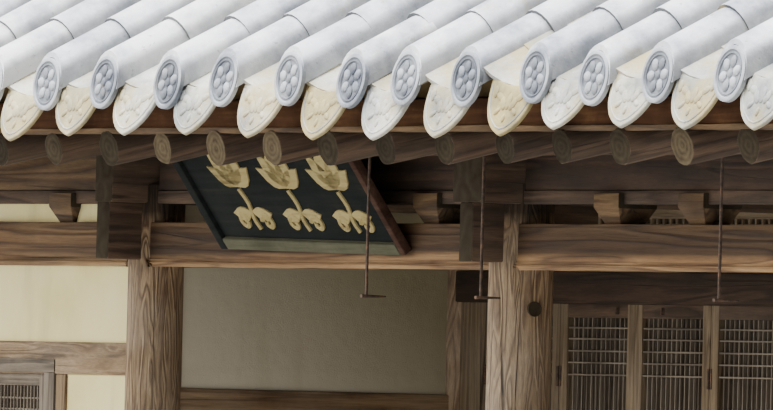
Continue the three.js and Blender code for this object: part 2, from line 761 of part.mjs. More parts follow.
// Four leaves, each a frame round a lattice light over a board panel
function leavesBody() {
  const bottom = floorTop + doorSill + fit;
  const top = doorHead - fit;
  const backY = leafThick / 2 - paperThick;
  const width = leafCount * leafWidth - 2 * fit;
  const pieces = [block(around(0, width), [backY, backY + paperThick], [bottom, top])];
  for (let leaf = 0; leaf < leafCount; leaf += 1) {
    const middle = (leaf - (leafCount - 1) / 2) * leafWidth;
    const outer = block(around(middle, leafWidth - leafGap), around(0, leafThick), [bottom, top]);
    const clear = around(middle, leafWidth - leafGap - 2 * leafStile);
    const light = block(clear, [-leafThick, backY], [leafPanelTop + leafStile, top - leafStile]);
    const recess = [-leafThick, -leafThick / 2 + panelRecess];
    pieces.push(cut(outer, [light, block(clear, recess, [bottom + leafStile, leafPanelTop])]));
  }
  return join(pieces);
}

function buildDoors() {
  const bays = { middle: 1, right: 2 };
  const y = innerY - jambDepth / 2 + leafThick;
  for (const [side, bay] of Object.entries(bays)) {
    buildDoorFrame(`${side}_door_frame`, bay);
    addPart(`${side}_lattice_doors`, leavesBody(), 'timber', [(columnX[bay] + columnX[bay + 1]) / 2, y, 0]);
  }
}

function buildPorchFloor() {
  const x0 = columnX[1] + railThick / 2 + fit;
  const x1 = columnX[3] + floorEdge.side;
  const y0 = frontY - floorEdge.front;
  const y1 = innerY + headBeamDepth / 2 - fit;
  const underside = floorTop - plank;
  const pieces = [
    block([x0, x1], [y0, y1], [underside, floorTop]),
    block([x0, x1], around(frontY, edgeBeam.thick), [underside + 1 - edgeBeam.deep, underside + 1]),
    block([x0, x1], around(innerY, edgeBeam.thick), [underside + 1 - edgeBeam.deep, underside + 1]),
  ];
  for (const x of [columnX[2], columnX[3]]) {
    pieces.push(block([x - edgeBeam.thick / 2, Math.min(x + edgeBeam.thick / 2, x1)], [frontY, innerY],
      [underside + 1 - edgeBeam.deep, underside + 1]));
  }
  for (const x of [(columnX[1] + columnX[2]) / 2, (columnX[2] + columnX[3]) / 2]) {
    pieces.push(block(around(x, underPost), around(frontY, underPost),
      [platformTop + fit, underside + 2 - edgeBeam.deep]));
  }
  addPart('porch_floor', clearOfFrame(join(pieces)), 'timber');
}

// The heated floor is one mass of clay and stone from the platform up
function buildRoomFloor() {
  const wall = railThick / 2 + fit;
  const z = [platformTop + fit, floorTop];
  const hall = block([columnX[0] + wall, columnX[3] - wall],
    [innerY + headBeamDepth / 2 + fit, rearY - wall], z);
  const leftRoom = block([columnX[0] + wall, columnX[1] - wall], [frontY + wall, innerY + headBeamDepth], z);
  addPart('room_floor', clearOfFrame(join([hall, leftRoom])), 'floorClay');
}

// The board leans forward over the lintel, its face sunk inside a raised frame
function buildSignboard() {
  const { x, width, height, thick, lean, frame, panelDrop, footY, footZ } = sign;
  const body = block(around(0, width), [0, thick], [0, height]);
  const face = block(around(0, width - 2 * frame), [-1, panelDrop], [frame, height - frame]);
  const holder = new THREE.Group();
  holder.position.set(x, frontY + footY, footZ);
  holder.rotation.x = THREE.MathUtils.degToRad(lean);
  house.add(holder);
  addPart('signboard', cut(body, [face]), 'lacquer', [0, 0, 0], holder);
}

// A hook hangs by its eye from a staple and ends in a flat foot
function hookBody() {
  const eye = logAlongX(around(0, eyeThick), 0, 0, eyeOuter);
  const rod = uprightLog(0, 0, [-hookLength, -eyeOuter + 3], rodRadius);
  const plate = block(around(0, foot.width), [-foot.front, foot.back],
    [-hookLength - foot.thick, -hookLength + 1]);
  return cut(join([eye, rod, plate]), [logAlongX(around(0, eyeThick + 4), 0, 0, eyeHole)]);
}

function buildHooks() {
  const pinZ = rafterBottom(hookY) - stapleDrop;
  for (const [side, n] of Object.entries(hookRafters)) {
    addPart(`door_hook_${side}`, hookBody(), 'iron', [n * rafterPitch, hookY, pinZ]);
  }
}

buildPlatform();
buildColumns();
buildFrontLintels();
buildPurlins();
buildCrossBeams();
buildRafters();
buildRoofSlopes();
buildRidges();
buildGableBoards();
buildGableWalls();
buildFrontLeftWall();
buildRearWalls();
buildSideWalls();
buildDoors();
buildPorchFloor();
buildRoomFloor();
buildSignboard();
buildHooks();

export default house;
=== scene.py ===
import math
import random

import bpy
from mathutils import Matrix, Vector


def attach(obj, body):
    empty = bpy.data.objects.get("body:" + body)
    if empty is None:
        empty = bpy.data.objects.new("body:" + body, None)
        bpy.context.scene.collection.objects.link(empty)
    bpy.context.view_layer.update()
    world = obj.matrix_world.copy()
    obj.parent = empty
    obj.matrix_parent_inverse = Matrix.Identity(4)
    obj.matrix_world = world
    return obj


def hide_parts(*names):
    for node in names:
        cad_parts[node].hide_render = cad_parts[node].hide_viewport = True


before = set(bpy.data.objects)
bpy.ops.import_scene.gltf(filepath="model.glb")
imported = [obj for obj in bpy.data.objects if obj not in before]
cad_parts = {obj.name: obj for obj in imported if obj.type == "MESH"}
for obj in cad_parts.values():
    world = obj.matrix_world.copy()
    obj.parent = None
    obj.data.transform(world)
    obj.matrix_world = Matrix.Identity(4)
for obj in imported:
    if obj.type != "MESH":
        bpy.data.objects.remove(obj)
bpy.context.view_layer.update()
chance = random.Random(11)


# Tools of the bench
def only(*pieces):
    bpy.ops.object.select_all(action="DESELECT")
    for piece in pieces:
        piece.select_set(True)
    bpy.context.view_layer.objects.active = pieces[0]


def edit(piece, pick=None, kind="FACE"):
    # opens edit mode with the faces, edges or vertices that pick accepts, or with all
    only(piece)
    bpy.ops.object.mode_set(mode="EDIT")
    bpy.ops.mesh.select_mode(type=kind)
    bpy.ops.mesh.select_all(action="SELECT" if pick is None else "DESELECT")
    if pick is not None:
        bpy.ops.object.mode_set(mode="OBJECT")
        mesh = piece.data
        for part in {"FACE": mesh.polygons, "EDGE": mesh.edges, "VERT": mesh.vertices}[kind]:
            part.select = pick(part)
        bpy.ops.object.mode_set(mode="EDIT")


def editEdges(piece, pick):
    # the edges whose two ends pick accepts
    points = piece.data.vertices
    edit(piece, lambda line: all(pick(points[i].co) for i in line.vertices), "EDGE")


def closeEdit(recalculate=False):
    if recalculate:
        bpy.ops.mesh.select_all(action="SELECT")
        bpy.ops.mesh.remove_doubles(threshold=0.00005)
        bpy.ops.mesh.normals_make_consistent(inside=False)
    bpy.ops.object.mode_set(mode="OBJECT")


def extrude(x=0.0, y=0.0, z=0.0):
    bpy.ops.mesh.extrude_region_move(TRANSFORM_OT_translate={"value": (x, y, z)})


def setDown(piece=None):
    # the object's place goes into its mesh; without a name it is the one just added
    piece = piece or bpy.context.object
    only(piece)
    bpy.ops.object.transform_apply(location=True, rotation=True, scale=True)
    return piece


def box(middle, size):
    bpy.ops.mesh.primitive_cube_add(size=1, location=middle, scale=size)
    return setDown()


def drum(radius, depth, sides, place=(0, 0, 0), turn=(math.pi / 2, 0, 0), ends="NGON"):
    bpy.ops.mesh.primitive_cylinder_add(vertices=sides, radius=radius, depth=depth, end_fill_type=ends,
                                        location=place, rotation=turn)
    return setDown()


def ball(reach, place=(0, 0, 0), segments=10, rings=6):
    bpy.ops.mesh.primitive_uv_sphere_add(segments=segments, ring_count=rings, radius=1.0, location=place,
                                         scale=reach)
    return setDown()


def moved(x=0.0, y=0.0, z=0.0):
    return Matrix.Translation((x, y, z))


def turned(angle, axis):
    return Matrix.Rotation(angle, 4, axis)


def withModifier(piece, kind, **settings):
    only(piece)
    modifier = piece.modifiers.new(kind.title(), kind)
    for setting, value in settings.items():
        setattr(modifier, setting, value)
    bpy.ops.object.modifier_apply(modifier=modifier.name)
    return piece


def rounded(piece, width, **limit):
    return withModifier(piece, "BEVEL", width=width, segments=2, limit_method="ANGLE", **limit)


def dress(piece, *materials):
    piece.data.materials.clear()
    for material in materials:
        piece.data.materials.append(material)
    return piece


def dressWhere(piece, pick, base, other):
    # faces that pick accepts get the other finish
    dress(piece, base, other)
    for face in piece.data.polygons:
        face.material_index = int(pick(face))
    return piece


def mark(mesh, name, values):
    # a number on each point, for a finish to read
    mesh.attributes.new(name, "FLOAT", "POINT").data.foreach_set("value", values)


def copyTo(model, where=Matrix.Identity(4), tone=None):
    # a copy with its own mesh; tone is how light this one is among its row
    mesh = model.data.copy()
    mesh.transform(where)
    if tone is not None:
        mark(mesh, "tone", [tone] * len(mesh.vertices))
    copy = bpy.data.objects.new(model.name, mesh)
    bpy.context.scene.collection.objects.link(copy)
    return copy


def scrap(*pieces):
    for piece in pieces:
        bpy.data.objects.remove(piece)


def joined(pieces):
    only(*pieces)
    if len(pieces) > 1:
        bpy.ops.object.join()
    return bpy.context.object


def finish(piece, name, node, body="house", smooth=35):
    # names the piece, smooths its round parts, hangs it on its body and hides the frame part it stands for
    piece.name = name
    piece.data.name = name
    only(piece)
    bpy.ops.object.shade_smooth_by_angle(angle=math.radians(smooth))
    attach(piece, body)
    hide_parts(node)
    return piece


def finishBoth(piece, name, node, smooth=35):
    # the rear of the house repeats the front, turned half round
    front = finish(piece, f"front_{name}", node, smooth=smooth)
    rear = copyTo(front, turned(math.pi, "Z"))
    finish(rear, f"rear_{name}", node.replace("front", "rear"))


def block(low, high, edge=0.004, cuts=0, along="X", rough=0.0, seed=0):
    # a squared block with eased edges; a hewn one has cuts along it, moved a little
    low, high = Vector(low), Vector(high)
    piece = box((low + high) / 2, high - low)
    if not cuts:
        edit(piece)
        bpy.ops.mesh.bevel(offset=edge, segments=2, affect="EDGES")
        closeEdit()
        return piece
    axis = "XYZ".index(along)
    corners = piece.data.vertices

    def isLong(line):
        start, end = [corners[i].co[axis] for i in line.vertices]
        return abs(start - end) > 0.5 * (high - low)[axis]

    edit(piece, isLong, "EDGE")
    bpy.ops.mesh.subdivide(number_cuts=cuts)
    bpy.ops.mesh.select_all(action="SELECT")
    bpy.ops.transform.vertex_random(offset=rough, seed=seed)
    closeEdit()
    return rounded(piece, edge)


def trunk(start, end, radius, sides=20, steps=6, rough=0.0015, seed=0):
    # a round timber, drawn out ring by ring from a disc, each ring a little off the last
    start, end = Vector(start), Vector(end)
    bpy.ops.mesh.primitive_circle_add(vertices=sides, radius=radius, fill_type="NGON")
    piece = bpy.context.object
    edit(piece)
    bpy.ops.mesh.inset(thickness=0.006)
    bpy.ops.mesh.poke()
    bpy.ops.mesh.select_all(action="SELECT")
    for _ in range(steps):
        extrude(z=(end - start).length / steps)
    bpy.ops.mesh.select_all(action="SELECT")
    bpy.ops.transform.vertex_random(offset=rough, seed=seed)
    closeEdit(recalculate=True)
    # how far each point lies from the heart of the log, for the rings of its sawn ends
    mark(piece.data, "heart", [point.co.xy.length for point in piece.data.vertices])
    piece.data.transform((end - start).to_track_quat("Z", "Y").to_matrix().to_4x4())
    piece.data.transform(Matrix.Translation(start))
    return piece


def grained(piece, woods, along):
    # long grain on the sides, end grain where the saw went across
    axis = "XYZ".index(along[0])
    return dressWhere(piece, lambda face: abs(face.normal[axis]) > 0.9, woods[along], woods["end"])


def timber(low, high, woods, along, edge=0.004, **uneven):
    return grained(block(low, high, edge, along=along, **uneven), woods, along)


def joinery(members, woods, edge=0.004):
    # squared members, each a low corner, a high corner and the way its grain runs
    return joined([timber(low, high, woods, along, edge) for low, high, along in members])


def spaced(start, end, count):
    # places that part the way from start to end evenly
    return [start + (i + 1) * (end - start) / (count + 1) for i in range(count)]


# Finishes
def colour(hexCode):
    # an sRGB hex code as linear light
    parts = [int(hexCode[i:i + 2], 16) / 255 for i in (1, 3, 5)]
    return tuple(p / 12.92 if p <= 0.04045 else ((p + 0.055) / 1.055) ** 2.4 for p in parts) + (1.0,)


def feed(tree, socket, value):
    # a socket takes a number, a hex colour, or what another node gives out
    if isinstance(value, bpy.types.Node):
        value = next(s for s in value.outputs if s.enabled)
    if isinstance(value, bpy.types.NodeSocket):
        tree.links.new(value, socket)
    else:
        socket.default_value = colour(value) if isinstance(value, str) else value


def addNode(tree, kind, links=(), stops=(), **settings):
    # one node with its settings; links says what feeds each socket, stops are those of a ramp
    node = tree.nodes.new("ShaderNode" + kind)
    for setting, value in settings.items():
        setattr(node, setting, value)
    for key, value in dict(links).items():
        feed(tree, node.inputs[key] if isinstance(key, int) else next(
            s for s in node.inputs if s.name == key and s.enabled), value)
    if stops:
        elements = node.color_ramp.elements
        while len(elements) < len(stops):
            elements.new(0.5)
        for element, (position, shade) in zip(elements, stops):
            element.position = position
            element.color = colour(shade) if isinstance(shade, str) else (shade, shade, shade, 1)
    return node


def noise(tree, place, scale, detail, roughness=0.5, **more):
    return addNode(tree, "TexNoise", {"Vector": place, "Scale": scale, "Detail": detail,
                                      "Roughness": roughness, **more})


def stretched(tree, place, size, turn=(0, 0, 0)):
    return addNode(tree, "Mapping", {"Vector": place, "Rotation": turn, "Scale": size}, vector_type="TEXTURE")


def calc(tree, operation, *values):
    return addNode(tree, "Math", dict(enumerate(values)), operation=operation)


def ramp(tree, share, *stops):
    return addNode(tree, "ValToRGB", {"Fac": share}, stops)


def blend(tree, share, under, over, kind="MIX"):
    return addNode(tree, "Mix", {"Factor": share, "A": under, "B": over}, data_type="RGBA", blend_type=kind)


def marked(tree, name):
    return addNode(tree, "Attribute", attribute_name=name).outputs["Fac"]


def axisOf(tree, vector, name):
    return addNode(tree, "SeparateXYZ", {"Vector": vector}).outputs[name]


def newFinish(name, **values):
    # a material, its tree and the place on the object that its patterns go by
    material = bpy.data.materials.new(name)
    material.use_nodes = True
    tree = material.node_tree
    for socket, value in values.items():
        feed(tree, tree.nodes["Principled BSDF"].inputs[socket], value)
    return material, tree, addNode(tree, "TexCoord").outputs["Object"]


def surface(material, tint, height, depth):
    # colour, and relief in metres
    tree = material.node_tree
    sockets = tree.nodes["Principled BSDF"].inputs
    feed(tree, sockets["Base Color"], tint)
    feed(tree, sockets["Normal"], addNode(tree, "Bump", {"Height": height, "Distance": depth, "Strength": 1.0}))
    return material


# Grain runs along local Z of the pattern; these turns lay it along an axis or a rafter
rafterSlope = 0.23
rafterTilt = math.atan(rafterSlope)
grainTurns = {
    "X": (0, math.pi / 2, 0), "Y": (-math.pi / 2, 0, 0), "Z": (0, 0, 0),
    "YFront": (rafterTilt - math.pi / 2, 0, 0), "YRear": (math.pi / 2 - rafterTilt, 0, 0),
}

# Red pine, planed long ago and left to the weather: growth rings 4 to 8 mm apart stand up as wavy
# ridges where the soft wood between has worn; drawn three times as wide, so that they show
weatheredPine = {
    "soft": "#ab8f6c", "wood": "#917656", "ring": "#604833", "silver": "#b8a78f", "stain": "#5d4a37",
    "figure": (0.05, 1.1), "wave": 0.3, "rings": 5.0, "relief": 0.003, "silverShare": 0.5, "roughness": 0.8,
}
# The columns' pine, cut closer to the heart: shorter, tighter waves
columnPine = dict(weatheredPine, soft="#b69d7e", wood="#9a8163", ring="#674f3d", silver="#c2b29e",
                  stain="#665344", figure=(0.04, 0.36), wave=0.9, rings=6.5)
# Lintels: orange where the rain never wets them
lintelPine = dict(weatheredPine, soft="#c3a27a", wood="#ac8a64", ring="#725641", silver="#c6ae8e",
                  silverShare=0.3)
# The doors' pine, out of the rain but greyed by dust and hands
dustyPine = dict(weatheredPine, soft="#a08c70", wood="#8a765b", ring="#65533f", silver="#a89a86",
                 stain="#5a4a3a", figure=(0.03, 0.7), rings=4.0, relief=0.0015)
# Window sashes and door lattice: washed grey, their soft wood gone
greyedPine = dict(dustyPine, soft="#958a7b", wood="#7f7466", ring="#5b5147", silver="#a59c8f", stain="#4d453c")
# The same pine under the eave and on the inner side: darker, smoked, hardly bleached
smokedPine = {
    "soft": "#6e5847", "wood": "#5a4739", "ring": "#403229", "silver": "#7b6b5c", "stain": "#302822",
    "figure": (0.06, 0.8), "wave": 0.3, "rings": 5.0, "relief": 0.0018, "silverShare": 0.3, "roughness": 0.88,
}
# A darker copy, for painted shade: the beam over the doors and the eave supports of the middle and right bays
deepShadePine = dict(smokedPine, soft="#523d30", wood="#443328", ring="#30241d", silver="#5f4d3e",
                  stain="#241c17")


def pine(name, look, turn, shadeBand=None):
    material, tree, place = newFinish(name, Roughness=look["roughness"], IOR=1.5)
    wide, long = look["figure"]
    grain = stretched(tree, place, (wide, wide, long), turn)
    figure = noise(tree, grain, 1.0, 1.6, 0.42, Distortion=look["wave"])
    year = calc(tree, "FRACT", calc(tree, "MULTIPLY", figure, look["rings"]))
    tint = ramp(tree, year, (0.0, look["wood"]), (0.12, look["soft"]), (0.5, look["wood"]),
                (0.85, look["ring"]), (1.0, look["wood"]))
    ridges = ramp(tree, year, (0.0, 0.55), (0.35, 0.1), (0.82, 0.95), (1.0, 0.6))
    fibre = noise(tree, grain, 16.0, 4.0, 0.65)
    # a drying crack opens where a long, slow pattern passes its middle, and only in bleached wood
    split = noise(tree, stretched(tree, place, (0.09, 0.09, 3.2), turn), 1.0, 1.0, 0.3)
    fromLine = calc(tree, "ABSOLUTE", calc(tree, "SUBTRACT", split, 0.56))
    line = ramp(tree, fromLine, (0.0, 1.0), (0.003, 0.8), (0.008, 0.0))
    silver = ramp(tree, noise(tree, place, 3.4, 4.0, 0.6), (0.4, 0.0), (0.68, 1.0))
    crack = calc(tree, "MULTIPLY", line, silver)
    bleached = blend(tree, calc(tree, "MULTIPLY", silver, look["silverShare"]), tint, look["silver"])
    streaked = blend(tree, 1.0, bleached, ramp(tree, fibre, (0.3, 0.62), (0.7, 1.0)), "MULTIPLY")
    blot = noise(tree, grain, 0.45, 3.0, 0.7)
    stained = blend(tree, ramp(tree, blot, (0.5, 0.0), (0.75, 0.55)), streaked, look["stain"])
    if shadeBand:
        # painted shade: a lintel is darkened above its lower edge, most across its middle, and a column towards its
        # head, where the eave and the brackets shade them
        wavy = calc(tree, "MULTIPLY_ADD", blot, 0.05, axisOf(tree, place, "Z"))
        share = addNode(tree, "MapRange", {"Value": wavy, "From Min": shadeBand["low"] + 0.025,
                                           "From Max": shadeBand["high"] + 0.025})
        stained = blend(tree, 1.0, stained, ramp(tree, share, *shadeBand["stops"]), "MULTIPLY")
    fine = calc(tree, "MULTIPLY_ADD", fibre, 0.35, ridges)
    # the crack is painted near black: the shade inside the split
    return surface(material, blend(tree, crack, stained, "#15100c"), calc(tree, "SUBTRACT", fine, crack),
                   look["relief"])


def endGrain(name, light, dark, log=False):
    # pine sawn across: rings drawn 9 mm apart, bleached and split from the heart; a log's close round its heart
    material, tree, place = newFinish(name, Roughness=0.95, IOR=1.3)
    bend = noise(tree, place, 17.0 if log else 9.0, 1.0)
    count = calc(tree, "MULTIPLY", bend, 2.6 if log else 9.0)
    if log:
        count = calc(tree, "MULTIPLY_ADD", marked(tree, "heart"), 110.0, count)
    year = calc(tree, "PINGPONG", count, 1.0)
    grime = noise(tree, place, 30.0, 5.0, 0.7)
    mixed = calc(tree, "MULTIPLY_ADD", year, 0.28 if log else 0.4, grime)
    age = ramp(tree, marked(tree, "tone"), (0.0, 0.18), (0.1, 0.1), (0.8, 0.18), (1.0, 0.36))
    tint = blend(tree, 1.0, ramp(tree, mixed, (0.35, dark), (0.95, light)), age, "MULTIPLY")
    return surface(material, tint, mixed, 0.002)


def earthPlaster(name, dark, middle, pale, shadeRanges=None):
    # clay and lime trowelled by hand: cream, softly mottled, a little sandy, stained by drips
    material, tree, place = newFinish(name, Roughness=0.92, IOR=1.5)
    broad = noise(tree, place, 2.2, 5.0, 0.6)
    drip = noise(tree, stretched(tree, place, (0.16, 0.16, 1.1)), 1.0, 4.0, 0.6)
    sand = noise(tree, place, 260.0, 2.0, 0.7)
    trowel = noise(tree, place, 11.0, 2.0, 0.5)
    tint = ramp(tree, broad, (0.25, dark), (0.48, middle), (0.72, pale))
    dripped = blend(tree, ramp(tree, drip, (0.55, 0.0), (0.8, 0.35)), tint, "#a4966c")
    if shadeRanges:
        # painted shade: the plaster is darkened upward and inward towards the doors, deeper under the eave
        rise, inward = [addNode(tree, "MapRange", {"Value": axisOf(tree, place, axis), "From Min": start,
                                                   "From Max": end, "To Max": 0.5})
                        for axis, (start, end) in shadeRanges.items()]
        drift = calc(tree, "MULTIPLY_ADD", broad, 0.3, calc(tree, "ADD", rise, inward))
        veil = ramp(tree, drift, (0.38, "#ffffff"), (0.92, "#b7b1a0"))
        dripped = blend(tree, 1.0, dripped, veil, "MULTIPLY")
    return surface(material, dripped, calc(tree, "MULTIPLY_ADD", trowel, 3.0, sand), 0.0012)


# flank is how dark the painted shade on a tile's flanks goes; 1.0 leaves them unshaded
tileLook = {"dark": "#cdd1d9", "middle": "#e8ebf1", "pale": "#f9fafc", "smoke": "#7f899b", "smokeShare": 0.8,
            "earth": "#bda96c", "earthFrom": 0.6, "earthShare": 0.6, "flank": 0.4}


def firedTile(name, **changes):
    # smoke-fired clay roof tile: pale bluish grey, chalky, pitted, with earth and lichen in patches
    look = dict(tileLook, **changes)
    material, tree, place = newFinish(name, Roughness=0.72, IOR=1.5)
    body = ramp(tree, marked(tree, "tone"), (0.0, look["dark"]), (0.45, look["middle"]), (1.0, look["pale"]))
    cloud = noise(tree, place, 5.5, 6.0, 0.62)
    cloudy = ramp(tree, cloud, (0.34, look["smoke"]), (0.6, "#ffffff"))
    smoked = blend(tree, look["smokeShare"], body, cloudy, "MULTIPLY")
    earthShare = ramp(tree, noise(tree, place, 4.2, 7.0, 0.72), (look["earthFrom"], 0.0),
                      (look["earthFrom"] + 0.16, look["earthShare"]))
    earthy = blend(tree, earthShare, smoked, look["earth"])
    lichenShare = ramp(tree, noise(tree, place, 38.0, 3.0, 0.75), (0.64, 0.0), (0.7, 0.42))
    spotted = blend(tree, lichenShare, earthy, "#7e8386")
    # painted shade: a tile is darkened on its flanks, the faces that turn sideways, as the shade between rows; its
    # crown keeps its colour
    normal = addNode(tree, "TexCoord").outputs["Normal"]
    sideways = calc(tree, "ABSOLUTE", axisOf(tree, normal, "X"))
    tint = blend(tree, 1.0, spotted, ramp(tree, sideways, (0.8, 1.0), (0.97, look["flank"])), "MULTIPLY")
    pits = noise(tree, place, 150.0, 3.0, 0.7)
    return surface(material, tint, calc(tree, "MULTIPLY_ADD", cloud, 1.5, pits), 0.0016)


def paintedBoard(name, paint, worn, bare):
    # iron-oxide or soot paint on pine, gone dead matt and rubbed thin along the grain so that wood shows through
    material, tree, place = newFinish(name, Roughness=0.95, IOR=1.25)
    streak = noise(tree, stretched(tree, place, (0.02, 0.02, 0.35), grainTurns["X"]), 1.0, 5.0, 0.65)
    both = calc(tree, "ADD", streak, noise(tree, place, 6.0, 5.0, 0.65))
    tint = ramp(tree, calc(tree, "MULTIPLY", both, 0.5), (0.36, paint), (0.52, worn), (0.66, bare))
    return surface(material, tint, streak, 0.0008)


def hewnGranite():
    # grey-buff granite dressed with a point: crystals of 3 to 6 mm, chisel pits 15 mm apart
    material, tree, place = newFinish("hewn_granite", Roughness=0.85, IOR=1.5)
    crystal = addNode(tree, "TexVoronoi", {"Vector": place, "Scale": 170.0}).outputs["Distance"]
    crystals = ramp(tree, crystal, (0.1, "#6f6b64"), (0.35, "#9c978c"), (0.6, "#b9b3a6"))
    broad = noise(tree, place, 2.6, 5.0, 0.65)
    tint = blend(tree, 0.75, crystals, ramp(tree, broad, (0.35, "#b3a78f"), (0.65, "#ffffff")), "MULTIPLY")
    return surface(material, tint, calc(tree, "ADD", noise(tree, place, 60.0, 3.0, 0.7), broad), 0.004)


def forgedIron():
    # iron drawn under the hammer, rust-brown over grey-black scale
    material, tree, place = newFinish("forged_iron", Metallic=0.55, Roughness=0.62)
    rust = noise(tree, place, 55.0, 6.0, 0.7)
    return surface(material, ramp(tree, rust, (0.35, "#332d2a"), (0.52, "#55463c"), (0.68, "#7a5a45")),
                   rust, 0.0008)


def clothLike(name, base, spot, grit, depth):
    # clay, mortar or old paper: one body colour that varies in patches, with a fine grit
    material, tree, place = newFinish(name, Roughness=0.9, IOR=1.5)
    tint = ramp(tree, noise(tree, place, 9.0, 6.0, 0.65), (0.35, spot), (0.62, base))
    return surface(material, tint, noise(tree, place, grit, 3.0, 0.7), depth)


def woodSet(name, look, end, turns="XYZ"):
    return dict({turn: pine(f"{name}_{turn}", look, grainTurns[turn]) for turn in turns}, end=end)


def withTurn(woods, turn, name, look, shadeBand=None):
    # a set of woods with another one for the timbers that run this way
    return dict(woods, **{turn: pine(name, look, grainTurns[turn], shadeBand)})


def lintelShadeBand(*stops):
    return {"low": 2.547, "high": 2.674, "stops": stops}


pineEnd = endGrain("pine_end_grain", "#a3916f", "#735c41")
smokedEnd = endGrain("smoked_pine_end_grain", "#988a72", "#776650")
logEnd = endGrain("smoked_pine_log_end", "#a89879", "#6a5945", log=True)
pineWoods = woodSet("weathered_pine", weatheredPine, pineEnd)
doorWoods = woodSet("dusty_pine", dustyPine, pineEnd)
sashWoods = woodSet("greyed_pine", greyedPine, pineEnd)
smokedWoods = woodSet("smoked_pine", smokedPine, smokedEnd, grainTurns)
# the columns and lintels carry a band of painted shade by height
columnWoods = withTurn(pineWoods, "Z", "weathered_pine_columns_shaded", columnPine, {
    "low": 2.6, "high": 2.78, "stops": ((0.0, "#ffffff"), (0.35, "#efe8e0"), (0.6, "#736a62"), (1.0, "#564e48"))})
lintelWoods = withTurn(pineWoods, "X", "weathered_pine_lintels_shaded", lintelPine, lintelShadeBand(
    (0.0, "#fffaf0"), (0.2, "#fff4e6"), (0.35, "#7c7066"), (0.68, "#7a6f65"), (0.86, "#90867a"), (1.0, "#a0968a")))
# the left bay's lintel is a lit copy: painted light, with milder painted shade, since that bay is lit more
litLeftLintelWoods = withTurn(pineWoods, "X", "weathered_pine_left_lintel_lit", lintelPine, lintelShadeBand(
    (0.0, "#fffaf0"), (0.3, "#d8cfc4"), (0.6, "#b5a99c"), (1.0, "#a59d90")))
railWoods = withTurn(pineWoods, "X", "weathered_pine_rails", dict(columnPine, ring="#7c6754", rings=4.5))
rafterWoods = dict(smokedWoods, end=logEnd)
deepShadeWoods = withTurn(smokedWoods, "X", "deep_shade_pine", deepShadePine)
blockWoods = withTurn(smokedWoods, "X", "bearing_block_pine",
                      dict(smokedPine, soft="#866b4b", wood="#705639", ring="#4b3827"))
plaster = earthPlaster("trowelled_earth_plaster", "#e6d797", "#fbefb0", "#fff7c6")
# greyer than the front plaster: partly its own dust, partly painted shade, as the porch wall stands in the eave's shade
shadedPorchPlaster = earthPlaster("dusty_earth_plaster_shaded", "#bfb9a6", "#d2cdbb", "#dcd8c9",
                            shadeRanges={"Z": (2.05, 2.75), "Y": (-1.75, -0.75)})
tileClay = firedTile("smoke_fired_tile")
# a darker grey for the disc's sunken field: painted shade in its recess; two petals and the boss take it too
recessShadeClay = firedTile("smoke_fired_tile_relief_shade", dark="#767c86", middle="#8b9099", pale="#a0a5ad",
                       earthShare=0.35)
# the tiles' end faces take a dark grey: painted shadow in the joints where one tile laps the next
jointShadeClay = firedTile("smoke_fired_tile_joint_shade", dark="#54575b", middle="#606367", pale="#6d7073")
rimClay = firedTile("smoke_fired_tile_rim", dark="#abb0b8", middle="#bdc2c9", pale="#ced2d8", earthShare=0.2)
panClay = firedTile("smoke_fired_pan_tile", dark="#b4b5ae", middle="#c8c9c2", pale="#dcdbd2",
                    earthFrom=0.5, earthShare=0.7, flank=1.0)
dripClay = firedTile("smoke_fired_drip_tile", dark="#bfae79", middle="#cac8ba", pale="#dbdbd3",
                     earth="#b7a673", earthFrom=0.45, earthShare=0.8, flank=1.0)
redBoard = paintedBoard("red_ochre_paint_on_pine", "#3d281c", "#553a28", "#705236")
sootBoard = paintedBoard("soot_green_lacquer_on_pine", "#151a1b", "#1f2425", "#2b2d2a")
redFrame = paintedBoard("dark_red_paint_on_pine", "#35251f", "#4c372f", "#624f41")
carvedPaint = paintedBoard("beige_paint_on_carving", "#ab9b69", "#bdae7c", "#7d6f4a")
bleachedFoot = paintedBoard("green_paint_bleached_on_pine", "#4b4c3e", "#5f6050", "#706f5c")
granite = hewnGranite()
iron = forgedIron()
bedClay = clothLike("red_earth_under_tiles", "#85704c", "#5f4f36", 90.0, 0.003)
packedEarth = clothLike("packed_lime_and_earth", "#97917f", "#7c7666", 70.0, 0.003)
mortar = clothLike("lime_mortar", "#b9b6ab", "#8d897d", 120.0, 0.002)
# the paper behind the lattices is grey, partly for its age, partly as painted shade behind the bars
shadedPaper = clothLike("aged_mulberry_paper_shaded", "#8a857c", "#726d65", 300.0, 0.0004)
oiledPaper = clothLike("oiled_paper_on_clay", "#b39a64", "#96804f", 200.0, 0.0004)
print("finishes mixed:", len(bpy.data.materials))


# Roof tiles. A run is the level distance from the eave's edge up the front slope
roof = {
    "edgeY": -2.886, "edgeZ": 3.022, "slope": 0.53, "curve": 0.015593, "half": 4.45,
    "rowPitch": 0.3344, "rowShift": 0.0226, "rows": 26, "edgeRowX": 4.385, "jitter": 0.0025, "strayFade": 1.2,
    # how far rows and drips stray sideways and drips hang, counted from the middle of the house outward
    "rowStray": (-0.01, -0.013, 0.019, 0.001, 0.029, 0.04, -0.002, -0.016, 0.013, -0.016, -0.023, 0.005, 0.0),
    "dripStray": (0.012, -0.018, -0.005, 0.002, 0.032, 0.046, 0.044, 0.048, 0.042, 0.0, 0.01, -0.004, 0.001, 0.0),
    "dripRise": (-0.01, 0.01, 0.006, 0.006, -0.004, -0.011, -0.014, -0.01, 0.0, 0.013, 0.016, 0.012, 0.013, 0.0),
}
coverShape = {"radius": 0.0745, "length": 0.31, "step": 0.28, "lift": 0.034, "runs": (0.141, 2.82),
              "tilt": -0.012, "leg": 0.022, "taper": 0.93, "thick": 0.013, "sides": 20, "lowest": 0.32}
